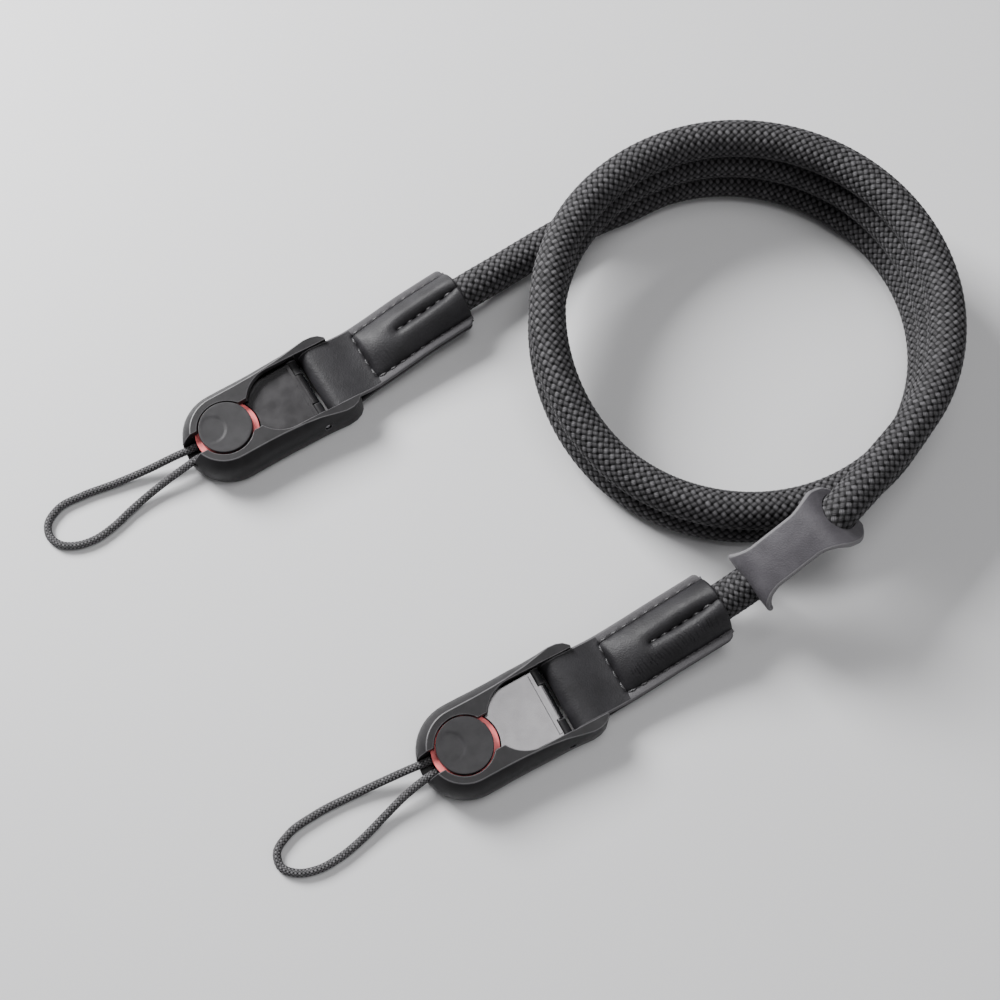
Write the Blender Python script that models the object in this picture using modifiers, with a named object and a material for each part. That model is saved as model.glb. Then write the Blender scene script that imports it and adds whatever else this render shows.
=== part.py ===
"""Coiled camera strap: a braided rope laid in two and a half turns, with a leather sleeve and a
quick-release connector at each end and a loose leather keeper. Metres, +Z up, the floor at z = 0.
A connector's own frame has its origin on the floor under the anchor's middle, +X toward the rope.
A sleeve's own frame has its origin on the crossbar's axis, s along the sleeve and v across it."""

from math import ceil, cos, pi, radians, sin, sqrt, tan

import bmesh
import bpy
import numpy as np
from mathutils import Matrix, Vector

# Gaps between pieces
SEAT_GAP = 0.0003
TURN_GAP = 0.0006
FLOOR_GAP = 0.0001
SLIDE_GAP = 0.0004
PIN_GAP = 0.0003
WALL_STEP = 0.0001

# Facets and shading
CUT_SEGMENTS = 48
BAR_SEGMENTS = 20
PIN_SEGMENTS = 16
ANCHOR_SEGMENTS = 36
ROPE_END_SEGMENTS = 16
NOSE_STEPS = 12
WRAP_STEPS = 7
ROPE_RESOLUTION = 4
ANCHOR_CORD_RESOLUTION = 2
SHARP_DEG = 35.0
WELD_DISTANCE = 0.00001

# Rope and coil; the turns run clockwise seen from above
ROPE_RADIUS = 0.005
COIL_RADIUS = 0.05356
COIL_CENTRE = (0.0663, 0.0449)
COIL_START_DEG = 124.0
COIL_SWEEP_DEG = 885.0
COIL_STEP_DEG = 15.0
COIL_RISE_FROM_DEG = 244.0
COIL_RISE_DEG = 76.0
ROPE_POINT_SPACING = 0.013

# The rope's way from the first sleeve to the coil, and from the coil to the second sleeve (x, y, z)
ROPE_WAY_IN = (
    (0.0000, 0.0672, 0.0063),
    (0.0130, 0.0764, 0.0055),
    (0.0245, 0.0836, 0.0052),
)
ROPE_WAY_OUT = (
    (0.0999, 0.0018, 0.0260),
    (0.0913, -0.0078, 0.0260),
    (0.0845, -0.0145, 0.0254),
    (0.0748, -0.0213, 0.0199),
    (0.0649, -0.0278, 0.0135),
)

# Anchor cord loops in their connector's frame (x, y, z)
ANCHOR_CORD_RADIUS = 0.00105
ANCHOR_CORD_WAYS = (
    (
        (-0.0100, 0.0018, 0.0046),
        (-0.0160, 0.0027, 0.0037),
        (-0.0233, 0.0037, 0.0023),
        (-0.0339, 0.0053, 0.0013),
        (-0.0426, 0.0068, 0.0011),
        (-0.0500, 0.0068, 0.0011),
        (-0.0543, 0.0041, 0.0011),
        (-0.0553, 0.0006, 0.0011),
        (-0.0538, -0.0029, 0.0011),
        (-0.0500, -0.0054, 0.0011),
        (-0.0450, -0.0064, 0.0011),
        (-0.0395, -0.0058, 0.0011),
        (-0.0328, -0.0040, 0.0013),
        (-0.0250, -0.0026, 0.0021),
        (-0.0170, -0.0019, 0.0035),
        (-0.0105, -0.0016, 0.0045),
    ),
    (
        (-0.0100, 0.0018, 0.0046),
        (-0.0150, 0.0024, 0.0038),
        (-0.0215, 0.0031, 0.0025),
        (-0.0303, 0.0038, 0.0013),
        (-0.0415, 0.0040, 0.0011),
        (-0.0495, 0.0028, 0.0011),
        (-0.0540, 0.0000, 0.0011),
        (-0.0546, -0.0035, 0.0011),
        (-0.0517, -0.0068, 0.0011),
        (-0.0470, -0.0085, 0.0011),
        (-0.0402, -0.0085, 0.0011),
        (-0.0333, -0.0071, 0.0012),
        (-0.0257, -0.0048, 0.0019),
        (-0.0184, -0.0028, 0.0033),
        (-0.0110, -0.0017, 0.0045),
    ),
)
ANCHOR_CORD_SPACING = 0.005

# Where each connector lies, and how its sleeve leaves it
CONNECTORS = (
    {"x": -0.0748, "y": 0.0173, "heading_deg": 31.5, "sleeve_yaw_deg": 3.1,
     "mouth_z": 0.00725, "mouth_slope": 0.0},
    {"x": -0.0089, "y": -0.0696, "heading_deg": 28.4, "sleeve_yaw_deg": 1.8,
     "mouth_z": 0.0097, "mouth_slope": 0.21},
)

# Connector housing
HOUSING_HEIGHT = 0.0104
HOUSING_REACH = 0.0364
HOUSING_TOP_HALF = 0.0098
HOUSING_FLARE = 0.0030
HOUSING_REAR_DROP = 0.0014
HOUSING_FLOOR = 0.0018
LIP_THICKNESS = 0.0022
NECK_HALF = 0.0047
SLOT_HALF = 0.0031
SLOT_FLOOR = 0.0029
WINDOW_INSET = 0.0002
WINDOW_ARC_X = 0.0174
REAR_OPENING_X = 0.0262
BAR_X = 0.0305
BAR_Z = 0.0050
BAR_RADIUS = 0.0019

# Housing outline behind the anchor: x as a share of HOUSING_REACH, the top face's half width as a
# share of HOUSING_TOP_HALF, and how much of HOUSING_FLARE the body swells beyond it
HOUSING_OUTLINE = (
    {"x": 0.10, "half": 1.000, "flare": 1.00},
    {"x": 0.22, "half": 1.000, "flare": 0.97},
    {"x": 0.36, "half": 1.015, "flare": 0.92},
    {"x": 0.50, "half": 1.050, "flare": 0.84},
    {"x": 0.64, "half": 1.115, "flare": 0.62},
    {"x": 0.76, "half": 1.210, "flare": 0.36},
    {"x": 0.85, "half": 1.275, "flare": 0.20},
    {"x": 0.91, "half": 1.265, "flare": 0.14},
    {"x": 0.96, "half": 1.200, "flare": 0.10},
    {"x": 1.00, "half": 1.060, "flare": 0.08},
)

# Housing side, top to bottom: z as a share of the height there, and the share of the flare reached
HOUSING_SIDE = (
    {"z": 1.00, "flare": 0.00},
    {"z": 0.94, "flare": 0.22},
    {"z": 0.82, "flare": 0.58},
    {"z": 0.66, "flare": 0.87},
    {"z": 0.46, "flare": 1.00},
    {"z": 0.20, "flare": 0.96},
    {"z": 0.06, "flare": 0.84},
    {"z": 0.00, "flare": 0.66},
)

# Latch plate and its pin
PIN_X = 0.0246
PIN_DROP = 0.0020
PIN_RADIUS = 0.0007
PIN_HALF = 0.0124
KNUCKLE_RADIUS = 0.0016
KNUCKLE_HALF = 0.0049
BOSS_RADIUS = 0.00175
PLATE_DROP = 0.0008
PLATE_THICKNESS = 0.0012
PLATE_FRONT_X = 0.0070
LATCH_LIP = 0.0006
LATCH_LIP_WIDTH = 0.0009
LATCH_LIP_X = 0.0229
LATCH_LIP_INSET = 0.0010

# Anchor: a turned base with foot, neck and flange, and the cap over it
FOOT_RADIUS = 0.0062
FOOT_THICKNESS = 0.0011
ANCHOR_NECK_RADIUS = 0.0026
FLANGE_RADIUS = 0.0089
FLANGE_THICKNESS = 0.0014
CAP_RADIUS = 0.0074
CAP_GAP = 0.00045
CAP_RISE = 0.0004
CAP_DISH = 0.0005
CAP_EDGE = 0.0005

# The cap's dished top from its middle outward: radius as a share of CAP_RADIUS, depth of CAP_DISH
CAP_TOP = (
    {"radius": 0.00, "dish": 1.00},
    {"radius": 0.45, "dish": 0.85},
    {"radius": 0.80, "dish": 0.30},
)

# Leather sleeve
LEATHER_THICKNESS = 0.0013
SLEEVE_LENGTH = 0.0443
SEAM_START = 0.0131
SEAM_HALF = 0.0073
SLEEVE_SWELL = 0.00565
PLY_GAP = 0.0003
VALLEY_HALF = 0.0015
ROPE_INSIDE = 0.0015
ROPE_END_CLEAR = 0.0024
ROPE_END_HALF = 0.0052
ROPE_END_TIGHT = 0.0003
SWELL_ROUNDNESS = 0.75
ROPE_END_ROUNDNESS = 0.7

# The padded part of the sleeve: x as a share from the end seam to the mouth, the swell as a share
# of SLEEVE_SWELL, and the depth of the valley along the middle seam as a share of that swell
SLEEVE_SWELLS = (
    {"x": 0.000, "swell": 0.00, "valley": 0.00},
    {"x": 0.040, "swell": 0.40, "valley": 0.00},
    {"x": 0.120, "swell": 0.57, "valley": 0.00},
    {"x": 0.260, "swell": 0.66, "valley": 0.04},
    {"x": 0.400, "swell": 0.73, "valley": 0.30},
    {"x": 0.580, "swell": 0.81, "valley": 0.36},
    {"x": 0.780, "swell": 0.91, "valley": 0.28},
    {"x": 1.000, "swell": 1.00, "valley": 0.04},
)
SLEEVE_COLUMNS = (0.0, 0.14, 0.40, 0.62, 0.735, 0.80, 1.0)
SLEEVE_TONGUE_STEPS = 4

# Keeper: a strip bent over the rope, its two holes round the rope
KEEPER_THICKNESS = 0.0017
KEEPER_WAIST_HALF = 0.0054
KEEPER_EAR_HALF = 0.0081
KEEPER_LIFT = 0.0006
KEEPER_KNOT = 3
KEEPER_END_ROUND = 0.0060
KEEPER_END_SHARE = 0.60
ROPE_WAY_OUT_POINTS = 7
KEEPER_FLAT = 0.0060
KEEPER_BEND = 0.0100
KEEPER_ENDS = (
    {"side": -1.0, "length": 0.0236, "bend_deg": 80.0},
    {"side": 1.0, "length": 0.0250, "bend_deg": 66.0},
)
KEEPER_STEP = 0.0021
KEEPER_COLUMNS = (-1.0, -0.7, -0.35, 0.0, 0.35, 0.7, 1.0)

# What the sizes above fix
LIP_UNDERSIDE = HOUSING_HEIGHT - LIP_THICKNESS
PLATE_TOP = LIP_UNDERSIDE - PLATE_DROP
PIN_Z = PLATE_TOP - PIN_DROP
FLANGE_TOP = LIP_UNDERSIDE - SLIDE_GAP
FLANGE_BOTTOM = FLANGE_TOP - FLANGE_THICKNESS
POCKET_RADIUS = CAP_RADIUS + CAP_GAP
CHAMBER_RADIUS = FLANGE_RADIUS + SLIDE_GAP
WINDOW_HALF = HOUSING_TOP_HALF - WINDOW_INSET
LATCH_LIP_HALF = WINDOW_HALF - LATCH_LIP_INSET
BAY_HALF = WINDOW_HALF + WALL_STEP
SLEEVE_HALF_WIDTH = BAY_HALF - SLIDE_GAP
LEATHER_HALF = LEATHER_THICKNESS / 2
PLY_HEIGHT = (LEATHER_THICKNESS + PLY_GAP) / 2
WRAP_RADIUS = BAR_RADIUS + SEAT_GAP + LEATHER_HALF
COIL_LIFT = 2 * ROPE_RADIUS + TURN_GAP

LOOKS = {
    "rope_braid": ((0.022, 0.021, 0.023), 0.85, 0.0),
    "sleeve_leather": ((0.030, 0.028, 0.032), 0.55, 0.0),
    "keeper_leather": ((0.085, 0.080, 0.088), 0.50, 0.0),
    "housing_plastic": ((0.030, 0.029, 0.032), 0.38, 0.0),
    "latch_plate_steel": ((0.160, 0.155, 0.165), 0.22, 0.6),
    "hinge_pin_steel": ((0.450, 0.450, 0.460), 0.30, 1.0),
    "anchor_red": ((0.800, 0.090, 0.100), 0.42, 0.0),
    "anchor_cap_plastic": ((0.035, 0.033, 0.037), 0.45, 0.0),
    "anchor_cord_braid": ((0.030, 0.029, 0.031), 0.80, 0.0),
}


# Scene and objects


def clear_scene():
    for existing in list(bpy.data.objects):
        bpy.data.objects.remove(existing, do_unlink=True)


def new_collection(name):
    collection = bpy.data.collections.new(name)
    bpy.context.scene.collection.children.link(collection)
    return collection


def new_look(name):
    colour, roughness, metallic = LOOKS[name]
    look = bpy.data.materials.new(name)
    look.use_nodes = True
    surface = look.node_tree.nodes["Principled BSDF"]
    surface.inputs["Base Color"].default_value = (*colour, 1.0)
    surface.inputs["Roughness"].default_value = roughness
    surface.inputs["Metallic"].default_value = metallic
    return look


def new_empty(name, parent, location, heading=0.0):
    empty = bpy.data.objects.new(name, None)
    strap.objects.link(empty)
    empty.parent = parent
    empty.location = location
    empty.rotation_euler = (0.0, 0.0, heading)
    return empty


def place(name, data, parent, location=(0.0, 0.0, 0.0)):
    piece = bpy.data.objects.new(name, data)
    strap.objects.link(piece)
    piece.parent = parent
    piece.location = location
    return piece


def mesh_from(name, points, faces):
    mesh = bpy.data.meshes.new(name)
    mesh.from_pydata([tuple(map(float, point)) for point in points], [], faces)
    mesh.update()
    return mesh


def finish_mesh(mesh, look):
    mesh.materials.clear()
    mesh.materials.append(looks[look])
    mesh.shade_smooth()
    mesh.set_sharp_from_angle(angle=radians(SHARP_DEG))
    return mesh


def as_cutter(shape):
    for holder in list(shape.users_collection):
        holder.objects.unlink(shape)
    cutters.objects.link(shape)
    shape.hide_render = True
    shape.display_type = "WIRE"
    return shape


def box_tool(name, low, high):
    bpy.ops.mesh.primitive_cube_add(size=1.0)
    tool = bpy.context.object
    tool.name = name
    low = Vector(low)
    high = Vector(high)
    tool.data.transform(Matrix.LocRotScale((low + high) / 2, None, high - low))
    return as_cutter(tool)


def rod_tool(name, radius, start, end, segments):
    start = Vector(start)
    end = Vector(end)
    bpy.ops.mesh.primitive_cylinder_add(vertices=segments, radius=radius, depth=(end - start).length)
    tool = bpy.context.object
    tool.name = name
    turn = (end - start).to_track_quat("Z", "Y")
    tool.data.transform(Matrix.LocRotScale((start + end) / 2, turn, None))
    return as_cutter(tool)


def shape_with(name, mesh, steps):
    """The mesh after each boolean step (operation, tool), taken as the viewport evaluates it."""
    shape = bpy.data.objects.new(name, mesh)
    strap.objects.link(shape)
    for operation, tool in steps:
        boolean = shape.modifiers.new(f"{operation.lower()} {tool.name}", "BOOLEAN")
        boolean.operation = operation
        boolean.object = tool
    bpy.context.view_layer.update()
    graph = bpy.context.evaluated_depsgraph_get()
    result = bpy.data.meshes.new_from_object(shape.evaluated_get(graph), depsgraph=graph)
    result.name = name
    bpy.data.objects.remove(shape, do_unlink=True)
    return result


def ring_faces(rings, count):
    """Side faces between successive rings of count points, each ring anticlockwise seen from its
    open end, with the first ring's end on top."""
    faces = []
    for ring in range(rings - 1):
        for i in range(count):
            j = (i + 1) % count
            above = ring * count
            below = above + count
            faces.append((above + i, below + i, below + j, above + j))
    return faces


def profile_mesh(name, profile):
    """Half the outline of a turned piece, (radius, z) from the axis down to the axis again."""
    mesh = bpy.data.meshes.new(name)
    points = [(radius, 0.0, z) for radius, z in profile]
    mesh.from_pydata(points, [(i, i + 1) for i in range(len(points) - 1)], [])
    return mesh


def turn_profile(piece):
    screw = piece.modifiers.new("turned", "SCREW")
    screw.steps = ANCHOR_SEGMENTS
    screw.render_steps = ANCHOR_SEGMENTS
    screw.use_merge_vertices = True
    screw.merge_threshold = WELD_DISTANCE


# Curves


def smooth(share):
    share = np.clip(share, 0.0, 1.0)
    return share * share * (3.0 - 2.0 * share)


def smooth_way(knots, spacing, first, last):
    """Points about spacing apart on a smooth curve through the knots, from knot first to knot last:
    on each stretch a cubic whose slopes at its knots follow the neighbouring knots."""
    knots = np.array(knots, dtype=float)
    along = np.concatenate(([0.0], np.cumsum(np.linalg.norm(np.diff(knots, axis=0), axis=1))))
    slopes = np.gradient(knots, along, axis=0, edge_order=2)
    count = max(2, ceil((along[last] - along[first]) / spacing))
    places = np.linspace(along[first], along[last], count + 1)
    stretch = np.clip(np.searchsorted(along, places, side="right") - 1, 0, len(along) - 2)
    length = (along[stretch + 1] - along[stretch])[:, None]
    t = (places[:, None] - along[stretch][:, None]) / length
    return (
        (2 * t**3 - 3 * t**2 + 1) * knots[stretch]
        + (t**3 - 2 * t**2 + t) * length * slopes[stretch]
        + (3 * t**2 - 2 * t**3) * knots[stretch + 1]
        + (t**3 - t**2) * length * slopes[stretch + 1]
    )


def tube_curve(name, points, radius, resolution):
    curve = bpy.data.curves.new(name, "CURVE")
    curve.dimensions = "3D"
    curve.bevel_depth = radius
    curve.bevel_resolution = resolution
    curve.use_fill_caps = True
    spline = curve.splines.new("POLY")
    spline.points.add(len(points) - 1)
    for knot, point in zip(spline.points, points):
        knot.co = (*point, 1.0)
    return curve


# Rope


def coil_point(swept_deg):
    """The rope's middle after this many degrees of the coil, a turn higher after each rise."""
    polar = radians(COIL_START_DEG - swept_deg)
    risen = 0.0
    for turn in range(ceil(COIL_SWEEP_DEG / 360.0)):
        risen += float(smooth((swept_deg - COIL_RISE_FROM_DEG - 360.0 * turn) / COIL_RISE_DEG))
    return (
        COIL_CENTRE[0] + COIL_RADIUS * cos(polar),
        COIL_CENTRE[1] + COIL_RADIUS * sin(polar),
        ROPE_RADIUS + FLOOR_GAP + COIL_LIFT * risen,
    )


def connector_matrix(connector):
    turn = Matrix.Rotation(radians(connector["heading_deg"]), 4, "Z")
    return Matrix.Translation((connector["x"], connector["y"], 0.0)) @ turn


def mouth_knots(connector):
    """Two points in line with the sleeve's mouth: where the rope's round part ends inside it, and one
    rope radius outside it."""
    aside, height = sleeve_middle(connector, SLEEVE_LENGTH)
    inner_aside, inner_height = sleeve_middle(connector, SLEEVE_LENGTH - ROPE_INSIDE)
    ahead = Vector((ROPE_INSIDE, aside - inner_aside, height - inner_height)).normalized()
    inner = Vector((BAR_X + SLEEVE_LENGTH - ROPE_INSIDE, inner_aside, inner_height))
    outer = inner + ahead * (ROPE_INSIDE + ROPE_RADIUS)
    matrix = connector_matrix(connector)
    return [tuple(matrix @ inner), tuple(matrix @ outer)]


def rope_points():
    """The rope's middle line from the first sleeve through the coil to the second sleeve."""
    steps = round(COIL_SWEEP_DEG / COIL_STEP_DEG)
    coil = [coil_point(COIL_STEP_DEG * i) for i in range(steps + 1)]
    first, second = CONNECTORS
    way_in = mouth_knots(first) + list(ROPE_WAY_IN) + coil[:2]
    way_out = coil[-2:] + list(ROPE_WAY_OUT) + mouth_knots(second)[::-1]
    entry = smooth_way(way_in, ROPE_POINT_SPACING, 1, len(way_in) - 2)
    leaving = smooth_way(way_out, ROPE_POINT_SPACING, 1, len(way_out) - 2)
    return np.vstack((way_in[:1], entry[:-1], coil, leaving[1:], way_out[-1:]))


# Sleeve


def sleeve_middle(connector, s):
    """How far aside and how high the sleeve's middle line is, s from the crossbar: it turns by the
    sleeve's yaw past the housing's arms and rises to the mouth's height and slope."""
    share = s / SLEEVE_LENGTH
    aside = tan(radians(connector["sleeve_yaw_deg"])) * s * smooth(s / (SLEEVE_LENGTH - SEAM_START))
    rise = (connector["mouth_z"] - BAR_Z) * share**2 * (3.0 - 2.0 * share)
    lift = connector["mouth_slope"] * SLEEVE_LENGTH * (share**3 - share**2)
    return aside, BAR_Z + rise + lift


def table_column(table, name, at):
    return np.interp(at, [row["x"] for row in table], [row[name] for row in table])


def ply_height(s, v):
    """The middle of a ply's thickness above the sleeve's middle line: the tongue closes from the
    crossbar to the end seam, then the ply swells over the rope between the side seams."""
    closing = smooth(s / SEAM_START)
    tongue = WRAP_RADIUS + (PLY_HEIGHT - WRAP_RADIUS) * closing
    share = (s - SEAM_START) / (SLEEVE_LENGTH - SEAM_START)
    swell = table_column(SLEEVE_SWELLS, "swell", share) * SLEEVE_SWELL
    valley = table_column(SLEEVE_SWELLS, "valley", share) * np.exp(-((v / VALLEY_HALF) ** 2))
    arch = np.cos(np.clip(np.abs(v) / SEAM_HALF, 0.0, 1.0) * pi / 2) ** SWELL_ROUNDNESS
    return tongue + swell * (arch - valley)


def sleeve_stations():
    """Places along a ply from the crossbar to the mouth."""
    tongue = [SEAM_START * i / SLEEVE_TONGUE_STEPS for i in range(1, SLEEVE_TONGUE_STEPS)]
    padded = [SEAM_START + row["x"] * (SLEEVE_LENGTH - SEAM_START) for row in SLEEVE_SWELLS]
    return tongue + padded


def sleeve_mesh(name, connector):
    """The middle surface of the strip: the top ply from the mouth to the crossbar, round it, and the
    bottom ply back to the mouth."""
    columns = [-share for share in SLEEVE_COLUMNS[:0:-1]] + list(SLEEVE_COLUMNS)
    across = SLEEVE_HALF_WIDTH * np.array(columns)
    stations = sleeve_stations()
    rows = [(s, ply_height(s, across)) for s in stations[::-1]]
    for i in range(WRAP_STEPS + 1):
        turn = pi * i / WRAP_STEPS
        rows.append((-WRAP_RADIUS * sin(turn), np.full_like(across, WRAP_RADIUS * cos(turn))))
    rows += [(s, -ply_height(s, across)) for s in stations]
    points = []
    for s, heights in rows:
        aside, middle = sleeve_middle(connector, max(s, 0.0))
        for v, height in zip(across, heights):
            points.append((BAR_X + s, aside + v, middle + height))
    count = len(columns)
    faces = []
    for row in range(len(rows) - 1):
        for column in range(count - 1):
            corner = row * count + column
            faces.append((corner, corner + 1, corner + count + 1, corner + count))
    return mesh_from(name, points, faces)


def rope_end_mesh(name, connector):
    """The rope's squeezed end: it fills the sleeve from the mouth to near the end seam, in sections
    square to the sleeve's middle line."""
    across = ROPE_END_SEGMENTS
    start = SLEEVE_LENGTH - ROPE_INSIDE - SEAT_GAP
    stop = SEAM_START + ROPE_END_CLEAR
    stations = [s for s in sleeve_stations() if stop < s < start]
    points = []
    for s in [start, *stations[::-1], stop]:
        aside, middle = sleeve_middle(connector, s)
        next_aside, next_middle = sleeve_middle(connector, s + SEAT_GAP)
        for i in range(across):
            turn = 2 * pi * i / across
            v = ROPE_END_HALF * cos(turn)
            room = ply_height(s, v) - LEATHER_HALF - SEAT_GAP - ROPE_END_TIGHT
            height = room * abs(sin(turn)) ** ROPE_END_ROUNDNESS * np.sign(sin(turn))
            lean = ((next_aside - aside) * v + (next_middle - middle) * height) / SEAT_GAP
            points.append((BAR_X + s - lean, aside + v, middle + height))
    rings = len(stations) + 2
    faces = ring_faces(rings, across)
    faces.append(tuple(range(across)))
    faces.append(tuple(range(rings * across - 1, (rings - 1) * across - 1, -1)))
    return mesh_from(name, points, faces)


# Housing


def housing_height(x):
    return HOUSING_HEIGHT - HOUSING_REAR_DROP * float(smooth(2 * x / HOUSING_REACH - 1))


def housing_ring(flare_share, z_share):
    """One level of the housing's outside: from the rear along +Y, round the nose, back along -Y."""
    side = []
    for row in HOUSING_OUTLINE:
        half = row["half"] * HOUSING_TOP_HALF + row["flare"] * HOUSING_FLARE * flare_share
        side.append((row["x"] * HOUSING_REACH, half))
    nose = HOUSING_TOP_HALF + HOUSING_FLARE * flare_share
    ring = [(x, half) for x, half in side[::-1]]
    for i in range(2 * NOSE_STEPS + 1):
        turn = pi / 2 + pi * i / (2 * NOSE_STEPS)
        ring.append((nose * cos(turn), nose * sin(turn)))
    ring += [(x, -half) for x, half in side]
    return [(x, y, z_share * housing_height(x)) for x, y in ring]


def housing_blank():
    rings = [housing_ring(row["flare"], row["z"]) for row in HOUSING_SIDE]
    count = len(rings[0])
    faces = ring_faces(len(rings), count)
    last = (len(rings) - 1) * count
    for i in range(count // 2):
        strip = dict.fromkeys((i, i + 1, count - 2 - i, count - 1 - i))
        faces.append(tuple(strip))
        faces.append(tuple(last + k for k in reversed(strip)))
    return mesh_from("housing_blank", [point for ring in rings for point in ring], faces)


def housing_mesh():
    over = 2 * HOUSING_HEIGHT
    past = 2 * HOUSING_REACH
    wall = BAY_HALF + SEAT_GAP
    bay_front = PLATE_FRONT_X - SLIDE_GAP
    boss_start = KNUCKLE_HALF + SEAT_GAP
    hollows = [
        rod_tool("pocket_cut", POCKET_RADIUS, (0, 0, PIN_Z), (0, 0, over), CUT_SEGMENTS),
        rod_tool("chamber_cut", CHAMBER_RADIUS, (0, 0, HOUSING_FLOOR), (0, 0, LIP_UNDERSIDE), CUT_SEGMENTS),
        box_tool("bay_cut", (bay_front, -BAY_HALF, HOUSING_FLOOR), (past, BAY_HALF, LIP_UNDERSIDE)),
        rod_tool("window_arc_cut", WINDOW_HALF, (WINDOW_ARC_X, 0, PIN_Z), (WINDOW_ARC_X, 0, over), CUT_SEGMENTS),
        box_tool("window_cut", (WINDOW_ARC_X, -WINDOW_HALF, PIN_Z), (past, WINDOW_HALF, over)),
        box_tool("neck_cut", (0, -NECK_HALF, PIN_Z), (WINDOW_ARC_X, NECK_HALF, over)),
        box_tool("slot_cut", (-past, -SLOT_HALF, SLOT_FLOOR), (0, SLOT_HALF, over)),
        box_tool("rear_cut", (REAR_OPENING_X, -BAY_HALF, -over), (past, BAY_HALF, over)),
    ]
    bars = [rod_tool("crossbar", BAR_RADIUS, (BAR_X, -wall, BAR_Z), (BAR_X, wall, BAR_Z), BAR_SEGMENTS)]
    for side in (-1, 1):
        boss_ends = (PIN_X, side * boss_start, PIN_Z), (PIN_X, side * wall, PIN_Z)
        bars.append(rod_tool("pin_boss", BOSS_RADIUS, *boss_ends, BAR_SEGMENTS))
    bore = rod_tool("pin_bore", PIN_RADIUS + PIN_GAP, (PIN_X, -past, PIN_Z), (PIN_X, past, PIN_Z), PIN_SEGMENTS)
    steps = [("DIFFERENCE", hollow) for hollow in hollows]
    steps += [("UNION", bar) for bar in bars]
    return shape_with("housing", housing_blank(), [*steps, ("DIFFERENCE", bore)])


# Latch plate, anchor and keeper


def latch_plate_mesh():
    """The plate in its housing's frame, with a lip and a knuckle round the pin."""
    bpy.ops.mesh.primitive_cube_add(size=1.0)
    plate = bpy.context.object
    low = Vector((PLATE_FRONT_X, -WINDOW_HALF + SLIDE_GAP, PLATE_TOP - PLATE_THICKNESS))
    high = Vector((PIN_X, WINDOW_HALF - SLIDE_GAP, PLATE_TOP))
    plate.data.transform(Matrix.LocRotScale((low + high) / 2, None, high - low))
    blank = plate.data
    bpy.data.objects.remove(plate, do_unlink=True)
    lip_low = (LATCH_LIP_X, -LATCH_LIP_HALF, PLATE_TOP - PLATE_THICKNESS / 2)
    lip_high = (LATCH_LIP_X + LATCH_LIP_WIDTH, LATCH_LIP_HALF, PLATE_TOP + LATCH_LIP)
    flange_cut = FLANGE_RADIUS + SLIDE_GAP
    boss_cut = BOSS_RADIUS + SLIDE_GAP
    over = 2 * HOUSING_HEIGHT
    cuts = [rod_tool("flange_clearance", flange_cut, (0, 0, 0), (0, 0, over), CUT_SEGMENTS)]
    for side in (-1, 1):
        boss_ends = (PIN_X, side * KNUCKLE_HALF, PIN_Z), (PIN_X, side * 2 * WINDOW_HALF, PIN_Z)
        cuts.append(rod_tool("boss_clearance", boss_cut, *boss_ends, BAR_SEGMENTS))
    knuckle_ends = (PIN_X, -KNUCKLE_HALF, PIN_Z), (PIN_X, KNUCKLE_HALF, PIN_Z)
    bore_ends = (PIN_X, -WINDOW_HALF, PIN_Z), (PIN_X, WINDOW_HALF, PIN_Z)
    steps = [
        ("UNION", box_tool("latch_lip", lip_low, lip_high)),
        *[("DIFFERENCE", cut) for cut in cuts],
        ("UNION", rod_tool("knuckle", KNUCKLE_RADIUS, *knuckle_ends, BAR_SEGMENTS)),
        ("DIFFERENCE", rod_tool("knuckle_bore", PIN_RADIUS + PIN_GAP, *bore_ends, PIN_SEGMENTS)),
    ]
    mesh = shape_with("latch_plate", blank, steps)
    mesh.transform(Matrix.Translation((-PIN_X, 0.0, -PIN_Z)))
    return mesh


def anchor_base_mesh():
    foot_bottom = HOUSING_FLOOR + SEAT_GAP
    foot_top = foot_bottom + FOOT_THICKNESS
    profile = (
        (0.0, FLANGE_TOP),
        (FLANGE_RADIUS, FLANGE_TOP),
        (FLANGE_RADIUS, FLANGE_BOTTOM),
        (ANCHOR_NECK_RADIUS, FLANGE_BOTTOM),
        (ANCHOR_NECK_RADIUS, foot_top),
        (FOOT_RADIUS, foot_top),
        (FOOT_RADIUS, foot_bottom),
        (0.0, foot_bottom),
    )
    return profile_mesh("anchor_base", profile)


def anchor_cap_mesh():
    bottom = FLANGE_TOP + SEAT_GAP
    top = HOUSING_HEIGHT + CAP_RISE
    profile = [(CAP_RADIUS * row["radius"], top - CAP_DISH * row["dish"]) for row in CAP_TOP]
    profile += [
        (CAP_RADIUS - CAP_EDGE, top),
        (CAP_RADIUS, top - CAP_EDGE),
        (CAP_RADIUS, bottom),
        (0.0, bottom),
    ]
    return profile_mesh("anchor_cap", profile)


def keeper_side(end):
    """One half of the keeper's middle line, from its middle outward: (along, up, half width)."""
    count = round(end["length"] / KEEPER_STEP)
    step = end["length"] / count
    along = 0.0
    up = ROPE_RADIUS + SEAT_GAP + KEEPER_THICKNESS / 2 + KEEPER_LIFT
    side = [(0.0, up, KEEPER_WAIST_HALF)]
    for i in range(count):
        bend = radians(end["bend_deg"]) * float(smooth(((i + 0.5) * step - KEEPER_FLAT) / KEEPER_BEND))
        along += step * cos(bend)
        up -= step * sin(bend)
        reached = (i + 1) * step
        half = KEEPER_WAIST_HALF
        half += (KEEPER_EAR_HALF - KEEPER_WAIST_HALF) * float(smooth((reached - KEEPER_FLAT) / KEEPER_BEND))
        past = max(0.0, reached + KEEPER_END_ROUND - end["length"]) / KEEPER_END_ROUND
        side.append((along * end["side"], up, half * sqrt(1.0 - (1.0 - KEEPER_END_SHARE**2) * past**2)))
    return side


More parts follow.
